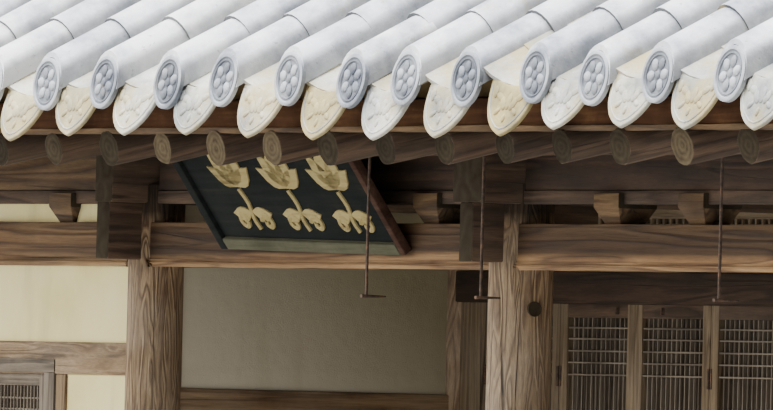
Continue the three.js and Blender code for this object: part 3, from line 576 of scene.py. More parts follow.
panShape = {"radius": 0.235, "length": 0.21, "step": 0.15, "sink": -0.018, "runs": (0.14, 2.84),
            "tilt": -0.05, "cut": 0.765, "thick": 0.012, "sides": 28}


def roofZ(run):
    return roof["edgeZ"] + roof["slope"] * run + roof["curve"] * run * run


def roofAngle(run):
    return math.atan(roof["slope"] + 2 * roof["curve"] * run)


def roofPlace(x, run, lift=0.0, tilt=0.0, turn=0.0):
    # where a tile lies: over the slope, its length up the slope
    return moved(x, roof["edgeY"] + run, roofZ(run) + lift) @ turned(roofAngle(run) + tilt, "X") @ turned(turn, "Z")


def slopeSteps(step, run, end):
    runs = []
    while run < end:
        runs.append(run)
        run += step * math.cos(roofAngle(run))
    return runs


def coverTile(length, radius):
    # half a pipe with short legs, narrowed where the next tile laps it
    shape = coverShape
    tile = drum(radius, length, shape["sides"], ends="NOTHING")
    edit(tile, lambda face: face.center.z < 0)
    bpy.ops.mesh.delete(type="FACE")
    closeEdit()
    editEdges(tile, lambda end: abs(end.z) < 0.0005)
    extrude(z=-shape["leg"])
    closeEdit()
    edit(tile, lambda point: point.co.y > 0, "VERT")
    bpy.ops.transform.resize(value=(shape["taper"], 1, shape["taper"]), center_override=(0, length / 2, 0))
    closeEdit()
    withModifier(tile, "SOLIDIFY", thickness=shape["thick"], offset=-1)
    # end faces get the dark grey of the painted joint shadow
    return dressWhere(tile, lambda face: abs(face.normal.y) > 0.9, tileClay, jointShadeClay)


def panTile(clay):
    # a shallow trough: the bottom of a pipe
    shape = panShape
    tile = drum(shape["radius"], shape["length"], shape["sides"], turn=(math.pi / 2, math.pi / shape["sides"], 0),
                ends="NOTHING")
    edit(tile, lambda face: face.center.z > -shape["cut"] * shape["radius"])
    bpy.ops.mesh.delete(type="FACE")
    closeEdit()
    tile.data.transform(moved(z=shape["radius"]))
    edit(tile)
    bpy.ops.mesh.flip_normals()
    closeEdit()
    return dress(withModifier(tile, "SOLIDIFY", thickness=shape["thick"], offset=-1), clay)


# The steps lead inward over the disc's face, each a width and how far it lies back
capShape = {"radius": 0.0748, "thick": 0.013, "rim": 0.008, "inset": 0.0112, "lean": -8, "tall": 1.06,
            "steps": ((0.008, 0.0), (0.002, 0.004), (0.004, 0.0), (0.0015, -0.003), (0.003, 0.0), (0.002, 0.0045)),
            "petals": 6, "petalAt": 0.033, "petalSize": (0.0145, 0.0075, 0.0175), "boss": (0.0125, 0.006, 0.0125)}


def eaveCap():
    # the disc that closes a row, with a double rim round a worn lotus
    shape = capShape
    disc = drum(shape["radius"], shape["thick"], 40)
    edit(disc, lambda face: face.normal.y < -0.9)
    bpy.ops.mesh.inset(thickness=0.0025)
    bpy.ops.transform.translate(value=(0, -0.002, 0))
    for width, back in shape["steps"]:
        bpy.ops.mesh.inset(thickness=width)
        bpy.ops.transform.translate(value=(0, back, 0))
    closeEdit()
    field = shape["radius"] - shape["rim"] - 0.004
    # the sunken field inside the rim takes the darker clay, painted shade in the recess
    dressWhere(disc, lambda face: face.center.y < 0 and face.center.xz.length < field, rimClay, recessShadeClay)
    front = -shape["thick"] / 2 + 0.003
    lumps = []
    for i in range(shape["petals"]):
        petal = ball(shape["petalSize"], (0, front, shape["petalAt"]))
        petal.data.transform(turned(math.tau * i / shape["petals"], "Y"))
        lumps.append(petal)
    boss = ball(shape["boss"], (0, front, 0), segments=12)
    for i, lump in enumerate(lumps + [boss]):
        dress(lump, rimClay if i % 3 else recessShadeClay)
    whole = joined([disc, boss] + lumps)
    whole.data.transform(Matrix.Scale(shape["tall"], 4, (0, 0, 1)))
    return whole


# The right half of the shield's edge and of the line inside it; a leaf has a place, a turn and a length
tongueShape = {"thick": 0.013, "lean": -22, "back": 0.038, "lift": 0.012, "shift": -0.006,
               "side": [(0.0, 0.0), (0.075, 0.01), (0.13, 0.036), (0.126, 0.0), (0.115, -0.048),
                        (0.093, -0.092), (0.058, -0.126), (0.022, -0.144), (0.0, -0.151)],
               "line": [(0.112, 0.0), (0.101, -0.046), (0.079, -0.084), (0.046, -0.114), (0.0, -0.132)],
               "leaves": [(0.0, -0.05, 0.0, 0.026), (0.027, -0.056, 0.6, 0.024), (-0.027, -0.056, -0.6, 0.024),
                          (0.052, -0.036, 1.2, 0.022), (-0.052, -0.036, -1.2, 0.022), (0.083, -0.022, 0.3, 0.02),
                          (-0.083, -0.022, -0.3, 0.02), (0.0, -0.1, 0.0, 0.014), (0.045, -0.08, 2.2, 0.016),
                          (-0.045, -0.08, -2.2, 0.016)]}


def drawn(lines, sharp, **settings):
    # smooth lines turned to mesh, round ones in the XZ plane, flat closed ones in the XY plane; sharp names corners
    curve = bpy.data.curves.new("line", "CURVE")
    for setting, value in settings.items():
        setattr(curve, setting, value)
    flat = curve.dimensions == "2D"
    for line in lines:
        spline = curve.splines.new("BEZIER")
        spline.bezier_points.add(len(line) - 1)
        spline.use_cyclic_u = flat
        for i, (point, (x, z)) in enumerate(zip(spline.bezier_points, line)):
            point.co = (x, z, 0) if flat else (x, 0, z)
            point.handle_left_type = point.handle_right_type = "VECTOR" if i in sharp else "AUTO"
    piece = bpy.data.objects.new("line", curve)
    bpy.context.scene.collection.objects.link(piece)
    only(piece)
    bpy.ops.object.convert(target="MESH")
    return bpy.context.object


def strokes(lines, depth, sharp=(), resolution=3):
    return drawn(lines, sharp, dimensions="3D", bevel_depth=depth, bevel_resolution=1, resolution_u=resolution)


def plate(outline, thick, soft, sharp=(), resolution=3):
    # a flat plate with rounded edges, stood up in the XZ plane
    piece = drawn([outline], sharp, dimensions="2D", fill_mode="BOTH", extrude=thick / 2 - soft, offset=-soft,
                  bevel_depth=soft, bevel_resolution=1, resolution_u=resolution)
    piece.rotation_euler = (math.pi / 2, 0, 0)
    edit(setDown(piece))
    closeEdit(recalculate=True)
    return piece


def eaveTongue():
    # the shield that hangs from the last pan tile, a raised line inside its edge and worn leaves
    shape = tongueShape
    outline = shape["side"] + [(-x, z) for x, z in reversed(shape["side"][1:-1])]
    shield = plate(outline, shape["thick"], 0.004, sharp=(2, 8, 14), resolution=2)
    line = [(-x, z) for x, z in shape["line"][:-1]] + shape["line"][::-1]
    relief = [dress(strokes([line], 0.003, resolution=2), panClay)]
    for x, z, turn, length in shape["leaves"]:
        leaf = ball((0.55 * length, 0.006, length))
        leaf.data.transform(moved(x, 0, z) @ turned(turn, "Y"))
        relief.append(dress(leaf, dripClay))
    for part in relief:
        part.data.transform(moved(y=-shape["thick"] / 2))
    return joined([dress(shield, dripClay)] + relief)


def settled(amount):
    return chance.uniform(-amount, amount)


def buildTiles():
    # the two slopes are laid alike, so each set is modelled on the front and turned for the rear
    plain = coverTile(coverShape["length"], coverShape["radius"])
    # the lowest tile of a row ends against the leaning disc, so its end is sawn to the disc's lean
    lowest = coverTile(coverShape["lowest"], coverShape["radius"])
    lowest.data.transform(moved(y=-0.0225))
    edit(lowest)
    bpy.ops.mesh.bisect(plane_co=(0, -0.1526, -0.006), plane_no=(0, -0.817, 0.576), clear_outer=True, use_fill=True)
    closeEdit()
    pan, lowestPan, cap, tongue = panTile(panClay), panTile(dripClay), eaveCap(), eaveTongue()
    shake, pitch, half = roof["jitter"], roof["rowPitch"], roof["rows"] // 2
    rows = [(k + 0.5) * pitch + roof["rowShift"] for k in range(-half, half)]
    gutters = [k * pitch + roof["rowShift"] for k in range(-half, half + 1)]
    covers, caps, pans, tongues = [], [], [], []
    for x in rows + [-roof["edgeRowX"], roof["edgeRowX"]]:
        number = int(abs(x - roof["rowShift"]) / pitch)
        stray = roof["rowStray"][number] if abs(x) < roof["edgeRowX"] else 0.0
        sway, rise = stray + settled(0.002), settled(0.006)
        place = moved(x + sway, roof["edgeY"] + capShape["inset"], roof["edgeZ"] + coverShape["lift"] + rise)
        lean = math.radians(capShape["lean"] + settled(2.5))
        caps.append(copyTo(cap, place @ turned(lean, "X") @ turned(settled(0.5), "Y"), chance.uniform(0.2, 0.8)))
        for step, run in enumerate(slopeSteps(coverShape["step"], *coverShape["runs"])):
            fade = max(0.0, 1 - run / roof["strayFade"])
            covers.append(copyTo(plain if step else lowest, roofPlace(
                x + sway * fade + settled(shake), run, coverShape["lift"] + rise * fade + settled(shake / 2),
                coverShape["tilt"] + settled(0.005), settled(0.008)), chance.uniform(0.25, 1.0)))
    for x in gutters:
        number = round(abs(x - roof["rowShift"]) / pitch)
        sway, rise = roof["dripStray"][number] + settled(0.002), roof["dripRise"][number] + settled(0.002)
        lean = math.radians(tongueShape["lean"] + settled(3))
        place = moved(x + sway + tongueShape["shift"], roof["edgeY"] + tongueShape["back"],
                      roof["edgeZ"] + tongueShape["lift"] + rise)
        tongues.append(copyTo(tongue, place @ turned(lean, "X") @ turned(settled(0.04), "Y"),
                              chance.uniform(0.0, 1.0)))
        for step, run in enumerate(slopeSteps(panShape["step"], *panShape["runs"])):
            fade = max(0.0, 1 - (run - panShape["runs"][0]) / roof["strayFade"])
            shade = chance.uniform(0.0 if step else 0.6, 1.0)
            pans.append(copyTo(pan if step else lowestPan, roofPlace(
                x + sway * fade + settled(shake), run, panShape["sink"] + rise * fade + settled(shake / 3),
                panShape["tilt"]), shade))
    scrap(plain, lowest, pan, lowestPan, cap, tongue)
    sets = {"cover_tiles": covers, "pan_tiles": pans, "eave_caps": caps, "eave_tongues": tongues}
    for name, copies in sets.items():
        finishBoth(joined(copies), name, "roof_front_slope", smooth=50)
    print("tiles laid:", len(covers), "covers,", len(pans), "pans,", len(caps), "caps a slope")


bedShape = {"start": 0.19, "step": 0.207, "strips": 14, "sink": 0.052, "thick": 0.06}


def buildRoofBed():
    # the red earth that the tiles are bedded in, patted down by hand, drawn up the slope strip by strip
    runs = [bedShape["start"] + bedShape["step"] * i for i in range(bedShape["strips"])]
    lowEnd, firstStrip = roof["edgeY"] + runs[0], 0.01
    bpy.ops.mesh.primitive_grid_add(x_subdivisions=40, y_subdivisions=1, size=1)
    bed = bpy.context.object
    bed.dimensions = (2 * roof["half"], 2 * firstStrip, 0)
    bed.location = (0, lowEnd, roofZ(runs[0]) - bedShape["sink"])
    setDown(bed)
    editEdges(bed, lambda end: end.y > lowEnd)
    for a, b in zip(runs, runs[1:]):
        extrude(y=b - a - (firstStrip if a == runs[0] else 0), z=roofZ(b) - roofZ(a))
    bpy.ops.mesh.select_all(action="SELECT")
    bpy.ops.transform.vertex_random(offset=0.004, seed=5)
    bpy.ops.mesh.normals_make_consistent(inside=False)
    closeEdit()
    bed = dress(withModifier(bed, "SOLIDIFY", thickness=bedShape["thick"], offset=-1), bedClay)
    finishBoth(bed, "roof_bed", "roof_front_slope")


ridge = {"halfLength": 4.46, "halfWidth": 0.14, "top": 4.985, "rise": 0.09, "courses": 6, "courseRise": 0.028,
         "courseDrop": 0.1, "slab": 0.0225, "tileLength": 0.29, "roundRadius": 0.0755, "count": 31,
         "coreWidth": 0.86, "coreDrop": 0.075, "coreUp": 0.7, "endScale": 1.3}
verge = {"x": 4.2, "halfWidth": 0.11, "foot": 0.506, "top": 2.88, "courses": 4, "courseRise": 0.034,
         "courseLift": 0.122, "slab": 0.024, "height": 0.21, "tileLength": 0.28, "roundRadius": 0.072,
         "coreWidth": 0.8, "coreDrop": 0.07, "coreUp": 0.5}


def slabTile(length, width, thick):
    # one thin convex tile of a ridge course
    tile = box((0, 0, 0), (length, width, thick))
    edit(tile, lambda face: abs(face.normal.y) > 0.9)
    bpy.ops.transform.translate(value=(0, 0, -0.006))
    bpy.ops.mesh.select_all(action="SELECT")
    bpy.ops.mesh.bevel(offset=0.003, segments=1, affect="EDGES")
    closeEdit()
    return dress(tile, tileClay)


def ridgeCore(core, shape):
    # the mortar behind the courses: the frame's own ridge, its top lowered under the round tiles
    edit(core)
    closeEdit(recalculate=True)
    edit(core, lambda face: face.normal.z > shape["coreUp"])
    bpy.ops.transform.translate(value=(0, 0, -shape["coreDrop"]))
    closeEdit()
    return dress(rounded(core, 0.004), mortar)


def ridgeTopAt(x):
    return ridge["top"] + ridge["rise"] * (x / ridge["halfLength"]) ** 2


def ridgePlace(x, drop, side=0.0):
    angle = math.atan(2 * ridge["rise"] * x / ridge["halfLength"] ** 2)
    return moved(x, side, ridgeTopAt(x) - drop) @ turned(-angle, "Y")


def buildMainRidge():
    # a mortared core, courses of slab tiles on it and a row of round tiles along the top
    shape = ridge
    length, width, courses, count = shape["tileLength"], 2 * shape["halfWidth"], shape["courses"], shape["count"]
    slab, narrow = [slabTile(length, width - less, shape["slab"]) for less in (0.005, 0.03)]
    crest = coverTile(length, shape["roundRadius"])
    crest.data.transform(turned(math.pi / 2, "Z"))
    step = (2 * shape["halfLength"] - 0.04) / count
    tops, slabs = [], []
    for i in range(count):
        x = (i - (count - 1) / 2) * step
        place = ridgePlace(x, shape["roundRadius"] + 0.002 + settled(0.001))
        tops.append(copyTo(crest, place, chance.uniform(0.3, 1)))
        for course in range(courses):
            at = x + (0.5 * step if course % 2 and i < count - 1 else 0)
            drop = shape["courseDrop"] + course * shape["courseRise"]
            slabs.append(copyTo(slab if course in (0, courses - 1) else narrow, ridgePlace(
                at, drop + settled(0.0008), settled(0.002)), chance.uniform(0.2, 0.9)))
    core = ridgeCore(copyTo(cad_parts["main_ridge"], Matrix.Scale(shape["coreWidth"], 4, (0, 1, 0))), shape)
    cap = eaveCap()
    cap.data.transform(Matrix.Scale(shape["endScale"], 4))
    ends = [copyTo(cap, moved(side * (shape["halfLength"] - 0.012), 0, ridgeTopAt(4.4) - 0.1)
                   @ turned(side * math.pi / 2, "Z"), 0.5) for side in (-1, 1)]
    scrap(slab, narrow, crest, cap)
    finish(core, "main_ridge_core", "main_ridge")
    finish(joined(slabs), "main_ridge_slab_courses", "main_ridge")
    finish(joined(tops), "main_ridge_round_tiles", "main_ridge", smooth=50)
    finish(joined(ends), "main_ridge_end_tiles", "main_ridge")


def buildVergeRidges():
    # lower ridges that hold down the edge rows: slab courses in mortar, round tiles on top, a cap at the foot
    shape = verge
    slab = slabTile(shape["tileLength"], 2 * shape["halfWidth"] - 0.004, shape["slab"])
    slab.data.transform(turned(math.pi / 2, "Z"))
    crest, cap = coverTile(shape["tileLength"] + 0.01, shape["roundRadius"]), eaveCap()
    slabs, tops = [], []
    for run in slopeSteps(shape["tileLength"], shape["foot"] + 0.13, shape["top"]):
        place = roofPlace(0, run, shape["height"] - shape["roundRadius"], -0.01)
        tops.append(copyTo(crest, place, chance.uniform(0.3, 1)))
        for course in range(shape["courses"]):
            place = roofPlace(settled(0.002), run + 0.06 * (course % 2),
                              shape["courseLift"] - shape["courseRise"] * course)
            slabs.append(copyTo(slab, place, chance.uniform(0.2, 0.9)))
    tops.append(copyTo(cap, roofPlace(0, shape["foot"] + 0.005, shape["height"] - 0.07), 0.5))
    core = copyTo(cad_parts["right_verge_ridge"], moved(-shape["x"]))
    core.data.transform(Matrix.Scale(shape["coreWidth"], 4, (1, 0, 0)))
    ridgeCore(core, shape)
    frontRow = joined(slabs + tops)
    both = joined([frontRow, copyTo(frontRow, turned(math.pi, "Z"))])
    for side, x in (("left", -shape["x"]), ("right", shape["x"])):
        node = f"{side}_verge_ridge"
        finish(copyTo(both, moved(x)), f"{node}_tiles", node, smooth=50)
        finish(copyTo(core, moved(x)), f"{node}_core", node)
    scrap(slab, crest, cap, core, both)
    print("ridges laid")


# The timber frame, in metres
house = {
    "columnX": (-3.15, -1.05, 1.05, 3.15), "frontY": -1.755, "innerY": -0.645, "rearY": 1.755,
    "frontRadii": (0.093, 0.086, 0.095, 0.093), "radius": 0.093,
    "columnFoot": 0.5103, "columnHead": 2.79, "innerHead": 2.7317, "neck": 0.0756,
    "lintel": (2.547, 2.674), "lintelDepth": 0.12, "beam": (2.732, 2.985), "beamWidth": 0.16,
    "headWidths": (0.16, 0.105, 0.16, 0.16), "headReach": 0.195, "bracketInside": 0.243, "bracketBottom": 2.559,
    "neckWidth": 0.075, "supportTop": 2.88, "supportWidth": 0.09, "stripTop": 2.773, "purlinHalf": 4.4,
    "purlinRadius": 0.088, "purlinZ": 2.95, "innerPurlinRadius": 0.095, "innerPurlinZ": 3.1981,
    "ridgePurlinZ": 3.878, "kingTop": 3.5, "kingHalf": 0.19,
}
rafter = {"radius": 0.052, "pitch": 0.313, "count": 29, "tipY": -2.745, "backY": -0.56,
          "underZ": 3.0406, "paleEnds": (-9, 2, 3, 4, 11), "boards": 10, "boardThick": 0.025, "boardLift": 0.1007,
          "upperSlope": 0.95, "upperZ": 3.3966, "upperBoards": 4, "upperHalf": 0.11, "upperThick": 0.038}
hook = {"rafters": {"left": 4, "middle": 6, "right": 10}, "seeds": {"left": 4, "middle": 6, "right": 5},
        "y": -2.412, "pinZ": 2.86749, "length": 0.418, "rod": 0.0044, "eye": (0.0078, 0.0032)}


def rafterUnder(y):
    return rafter["underZ"] + rafterSlope * (y - house["frontY"])


def buildRafters():
    # four round logs, each with its own bumps, copied and turned for the whole row
    length = (rafter["backY"] - rafter["tipY"]) / math.cos(rafterTilt)
    models = []
    for i in range(4):
        model = trunk((0, 0, 0), (0, length, 0), rafter["radius"], sides=18, steps=9, rough=0.0032, seed=i)
        models.append(grained(rounded(model, 0.004, angle_limit=0.9), rafterWoods, "YFront"))
    axisZ = rafterUnder(rafter["tipY"]) + rafter["radius"] / math.cos(rafterTilt)
    logs = []
    for i in range(rafter["count"]):
        n = i - (rafter["count"] - 1) // 2
        # what holds a hook stays where the hook is
        firm = n in hook["rafters"].values()
        x = n * rafter["pitch"] + (0 if firm else settled(0.012))
        reach = settled(0.012)
        thick = 1.0 if firm else chance.uniform(0.93, 1.06)
        place = (moved(x, rafter["tipY"] + reach, axisZ + rafterSlope * reach) @ turned(rafterTilt, "X")
                 @ turned(chance.uniform(0, 6.28), "Y") @ Matrix.Diagonal((thick, 1, thick, 1)))
        tone = 1.0 if n in rafter["paleEnds"] else chance.uniform(0.1, 0.8)
        logs.append(copyTo(models[i % 4], place, tone))
    scrap(*models)
    row = finish(joined(logs), "front_rafter_logs", "front_rafters", smooth=50)
    rear = copyTo(row, turned(math.pi, "Z"))
    for place, material in enumerate(rear.data.materials):
        if material == smokedWoods["YFront"]:
            rear.data.materials[place] = smokedWoods["YRear"]
    finish(rear, "rear_rafter_logs", "rear_rafters", smooth=50)


def buildEave():
    # boards over the rafters, the lath along their tips and the red board under the tiles
    half, innerY, start = roof["half"], house["innerY"], rafter["tipY"] + 0.014
    step = (innerY - start) / rafter["boards"]
    rows = []
    for i in range(rafter["boards"]):
        y = start + (i + 0.5) * step
        rows.append((y, rafterUnder(y) + rafter["boardLift"], rafterTilt, step * 0.51, rafter["boardThick"]))
    for i in range(rafter["upperBoards"]):
        y = innerY * (1 - (i + 0.5) / rafter["upperBoards"])
        rows.append((y, rafter["upperZ"] + rafter["upperSlope"] * (y - innerY), math.atan(rafter["upperSlope"]),
                     rafter["upperHalf"], rafter["upperThick"]))
    boards = []
    for y, z, tilt, reach, thick in rows:
        board = block((-half, -reach, 0), (half, reach, thick), 0.003)
        board.data.transform(moved(0, y, z) @ turned(tilt, "X"))
        boards.append(grained(board, smokedWoods, "X"))
    finishBoth(joined(boards), "roof_boards", "front_rafters")
    lath = timber((-half, -2.750, 2.911), (half, -2.700, 2.927), blockWoods, "X", 0.003, cuts=60, rough=0.0035, seed=4)
    finishBoth(lath, "eave_lath", "front_rafters")
    board = block((-half, -2.738, 2.926), (half, -2.665, 3.006), 0.004, cuts=50, rough=0.003, seed=9)
    finishBoth(dress(board, redBoard), "eave_board", "front_rafters")
    # a staple under each rafter that holds a hook, its ends driven in
    loop = [(-0.014, 0.034), (-0.014, 0.001), (-0.011, -0.001), (0.011, -0.001), (0.014, 0.001), (0.014, 0.034)]
    staples = []
    for number in hook["rafters"].values():
        staple = dress(strokes([loop], 0.004, sharp=range(len(loop))), iron)
        staple.data.transform(moved(number * rafter["pitch"], hook["y"], hook["pinZ"]))
        staples.append(staple)
    finish(joined(staples), "hook_staples", "front_rafters")
    print("rafters and eave set")


def shaft(x, y, foot, top, radius, seed, slotted=False):
    # a column rounded by hand; the outer rows have a slot that holds the beam's neck
    column = trunk((x, y, foot), (x, y, top), radius, sides=44, steps=12, rough=0.0012, seed=seed)
    if slotted:
        knife = box((x, y, house["beam"][0] + 0.1), (house["neck"], 0.4, 0.2))
        withModifier(column, "BOOLEAN", object=knife, operation="DIFFERENCE")
        scrap(knife)
    return grained(rounded(column, 0.003, angle_limit=1.0), columnWoods, "Z")


plugShape = {"radius": 0.022, "depth": 0.016, "place": (1.1437, -1.7655, 2.424), "turn": -6, "inset": 0.006}


def mortisePlug():
    # the round plug that closes an old mortise in the third column
    shape = plugShape
    plug = drum(shape["radius"], shape["depth"], 20, shape["place"], (0, math.pi / 2, math.radians(shape["turn"])))
    edit(plug, lambda face: len(face.vertices) > 4)
    bpy.ops.mesh.inset(thickness=shape["inset"])
    bpy.ops.transform.resize(value=(0.85, 0.85, 0.85))
    closeEdit()
    return dress(plug, smokedEnd)


def buildColumns():
    foot, head, radius = house["columnFoot"], house["columnHead"], house["radius"]
    for i, x in enumerate(house["columnX"]):
        columns = {"front": shaft(x, house["frontY"], foot, head, house["frontRadii"][i], i, True)}
        if i == 2:
            columns["front"] = joined([columns["front"], mortisePlug()])
        columns["rear"] = shaft(x, house["rearY"], foot, head, radius, i + 10, True)
        if i:
            columns["inner"] = shaft(x, house["innerY"], foot, house["innerHead"], radius, i + 20)
        for row, column in columns.items():
            finish(column, f"{row}_column_shaft_{i + 1}", f"{row}_column_{i + 1}")
    print("columns stand")


# The blocks on each lintel, counted from its middle
lintelBlocks = ((-0.57, 0, 0.57), (-0.612, 0, 0.612), (-0.49, -0.038, 0.49))


def bearingBlock(x, y):
    # square head on a foot that narrows on four sides
    piece = box((x, y, house["lintel"][1] + 0.023), (0.135, 0.135, 0.05))
    edit(piece, lambda face: face.normal.z < -0.9)
    bpy.ops.transform.resize(value=(0.6, 0.6, 1))
    closeEdit()
    edit(piece, lambda face: face.normal.z > 0.9)
    extrude(z=0.042)
    bpy.ops.mesh.select_all(action="SELECT")
    bpy.ops.mesh.bevel(offset=0.0025, segments=2, affect="EDGES")
    closeEdit()
    return grained(piece, blockWoods, "X")


def lintelBar(x0, x1, y, bay):
    # its two lower edges are rounded off
    low, high = house["lintel"]
    half = house["lintelDepth"] / 2
    bar = block((x0, y - half, low), (x1, y + half, high), cuts=14, rough=0.0022, seed=bay)
    editEdges(bar, lambda end: end.z < low + 0.006 and abs(end.y - y) > half - 0.006)
    bpy.ops.mesh.bevel(offset=0.014, segments=4, affect="EDGES")
    closeEdit(recalculate=True)
    return grained(bar, lintelWoods if bay else litLeftLintelWoods, "X")


def buildLintels():
    y = house["frontY"]
    for bay, name in enumerate(("left", "middle", "right")):
        x0, x1 = house["columnX"][bay:bay + 2]
        pieces = [lintelBar(x0 + 0.055, x1 - 0.055, y, bay)]
        pieces += [bearingBlock((x0 + x1) / 2 + off, y) for off in lintelBlocks[bay]]
        if bay == 0:
            strip = block((x0 + 0.08, y - 0.03, house["lintel"][1] - 0.002), (x1 - 0.08, y + 0.03, house["innerHead"]))
            pieces.append(dress(strip, plaster))
        finish(joined(pieces), f"front_lintel_{name}_bar", f"front_lintel_{name}")
    print("lintels set")


def purlinSupports(y):
    # a beam on a strip under an eave purlin, from one column to the next
    half, reach, strip = house["purlinHalf"], house["supportWidth"] / 2, house["stripTop"]
    stops = [-half] + [x + side * 0.08 for x in house["columnX"] for side in (-1, 1)] + [half]
    pieces = []
    for i in range(0, len(stops), 2):
        a, b = stops[i:i + 2]
        # supports at the left end and in the left bay get the lighter block pine, painted light as that side is lit
        # more; the others the darker copy, painted shade
        pieces.append(timber((a, y - reach, strip), (b, y + reach, house["supportTop"]),
                             deepShadeWoods if i > 2 else blockWoods, "X", cuts=12, rough=0.0018, seed=20 + i))
        pieces.append(timber((a, y - reach - 0.004, house["beam"][0]), (b, y + reach + 0.004, strip - 0.001),
                             smokedWoods, "X", cuts=12, rough=0.0015, seed=40 + i))
    return pieces


def buildPurlins():
    half, innerY = house["purlinHalf"], house["innerY"]
    eave = (house["purlinZ"], house["purlinRadius"])
    middle = (house["innerPurlinZ"], house["innerPurlinRadius"])
    rows = (("front_purlin", house["frontY"], *eave), ("front_middle_purlin", innerY, *middle),
            ("ridge_purlin", 0, house["ridgePurlinZ"], middle[1]), ("rear_middle_purlin", -innerY, *middle),
            ("rear_purlin", house["rearY"], *eave))
    for seed, (name, y, z, radius) in enumerate(rows):
        pole = trunk((-half, y, z), (half, y, z), radius, sides=24, steps=24, rough=0.0025, seed=seed)
        pieces = [grained(rounded(pole, 0.005, angle_limit=1.0), smokedWoods, "X")]
        if radius == eave[1]:
            pieces += purlinSupports(y)
        finish(joined(pieces), f"{name}_pole", name)
    print("purlins laid")


def kingPost(x, foot):
    # it narrows to the neck that carries the ridge purlin
    top, deep, half = house["kingTop"], house["kingHalf"], 0.045
    king = block((x - half, -deep, foot), (x + half, deep, top), 0.005)
    edit(king, lambda face: face.center.z > top - 0.05)
    bpy.ops.transform.resize(value=(1, 0.5, 1), center_override=(x, 0, top))
    closeEdit()
    neck = timber((x - half, -deep / 2, top - 0.01), (x + half, deep / 2, house["ridgePurlinZ"] - 0.09),
                  smokedWoods, "Z", 0.005)
    return [grained(king, smokedWoods, "Z"), neck]


def buildCrossBeams():
    low, high = house["beam"]
    half, neck, reach, inside = (house["beamWidth"] / 2, house["neckWidth"] / 2, house["headReach"],
                                 house["bracketInside"])
    for i, x in enumerate(house["columnX"]):
        wide = house["headWidths"][i] / 2
        pieces = [timber((x - half, house["frontY"] + 0.02, low), (x + half, house["rearY"] - 0.02, high),
                         smokedWoods, "Y", 0.012, cuts=16, rough=0.003, seed=i)]
        for side, y in ((-1, house["frontY"]), (1, house["rearY"])):
            y0, y1 = sorted((y, y + side * reach))
            pieces.append(timber((x - wide, y0, low), (x + wide, y1, high), smokedWoods, "Y", 0.006,
                                 cuts=4, rough=0.002, seed=i + 30))
            y0, y1 = sorted((y - side * inside, y + side * reach))
            pieces.append(timber((x - neck, y0, house["bracketBottom"]), (x + neck, y1, low + 0.001),
                                 smokedWoods, "Y", 0.005, cuts=4, rough=0.0015, seed=i + 50))
        if i in (1, 2):
            for y in (house["innerY"], -house["innerY"]):
                pieces.append(timber((x - 0.07, y - 0.07, high), (x + 0.07, y + 0.07, house["innerPurlinZ"] - 0.09),
                                     smokedWoods, "Z", 0.005))
            pieces += kingPost(x, high)
        finish(joined(pieces), f"cross_beam_{i + 1}_timber", f"cross_beam_{i + 1}")
    print("cross beams laid")


gable = {"x": 3.15, "slope": 0.64, "nails": 7, "nailSize": (0.007, 0.02, 0.02), "nailX": 4.4935, "nailRun": 0.35,
         "nailStep": 0.38, "nailDrop": 0.2, "postHalf": 0.0702, "infillHalf": 0.041}
gableTilt = math.atan(gable["slope"])
gableWoods = [pine("weathered_pine_gable_front", weatheredPine, (gableTilt - math.pi / 2, 0, 0)),
              pine("weathered_pine_gable_rear", weatheredPine, (math.pi / 2 - gableTilt, 0, 0))]


def cadCopy(node, width):
    # a copy of a frame solid with its loose triangles merged, its flats made whole and its edges eased
    piece = copyTo(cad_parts[node])
    edit(piece)
    bpy.ops.mesh.remove_doubles(threshold=0.00005)
    bpy.ops.mesh.dissolve_limited(angle_limit=math.radians(1))
    closeEdit()
    return rounded(piece, width, angle_limit=math.radians(20))


def buildGables():
    for side, sign in (("left", -1), ("right", 1)):
        board = cadCopy(f"{side}_gable_board", 0.004)
        edit(board)
        bpy.ops.mesh.bisect(plane_co=(0, 0, 4), plane_no=(0, 1, 0))
        closeEdit()
        nails = []
        for i in range(gable["nails"]):
            run = gable["nailRun"] + gable["nailStep"] * i
            for end in (-1, 1):
                nails.append(dress(ball(gable["nailSize"], rings=5), iron))
                nails[-1].data.transform(moved(sign * gable["nailX"], end * (-roof["edgeY"] - run),
                                               roofZ(run) - gable["nailDrop"]))
        dressWhere(board, lambda face: face.center.y > 0, *gableWoods)
        finish(joined([board] + nails), f"{side}_gable_board_planks", f"{side}_gable_board")

        def isPost(face):
            near = min(abs(face.center.y - y) for y in (-house["innerY"], 0, house["innerY"]))
            return near < gable["postHalf"] and abs(face.center.x - sign * gable["x"]) > gable["infillHalf"]

        infill = dressWhere(cadCopy(f"{side}_gable_wall", 0.003), isPost, plaster, smokedWoods["Z"])
        finish(infill, f"{side}_gable_wall_infill", f"{side}_gable_wall")
    print("gables closed")


# Walls: plaster between squared rails and posts
wall = {"half": 0.045, "railHalf": 0.056, "headRail": (2.203, 2.303), "sillRail": (1.1, 1.195),
        "floorRail": (0.66, 0.76), "porchRail": (2.069, 2.169), "foot": 0.3803, "top": 2.7317, "lap": 0.01,
        "postAt": 0.578, "postHalf": 0.03, "sidePost": 0.555, "sidePostHalf": 0.06}
window = {"half": 0.5477, "bottom": 1.1953, "top": 2.2497, "stile": 0.061, "head": 0.042, "sashStile": 0.068,
          "sashRail": 0.042, "sashFront": -0.036, "sashBack": -0.004, "bar": 0.006, "pitch": 0.021,
          "barGroup": 0.109, "barStep": 0.035, "frameFront": 0.06}


def plasterPanel(low, high, seed, coat=plaster):
    # trowelled by hand, so its face is a little uneven and its edges are soft
    panel = block(low, high, 0.003)
    edit(panel, lambda face: face.area > 0.05)
    bpy.ops.mesh.subdivide(number_cuts=7)
    bpy.ops.transform.vertex_random(offset=0.0012, seed=seed)
    closeEdit()
    return dress(panel, coat)


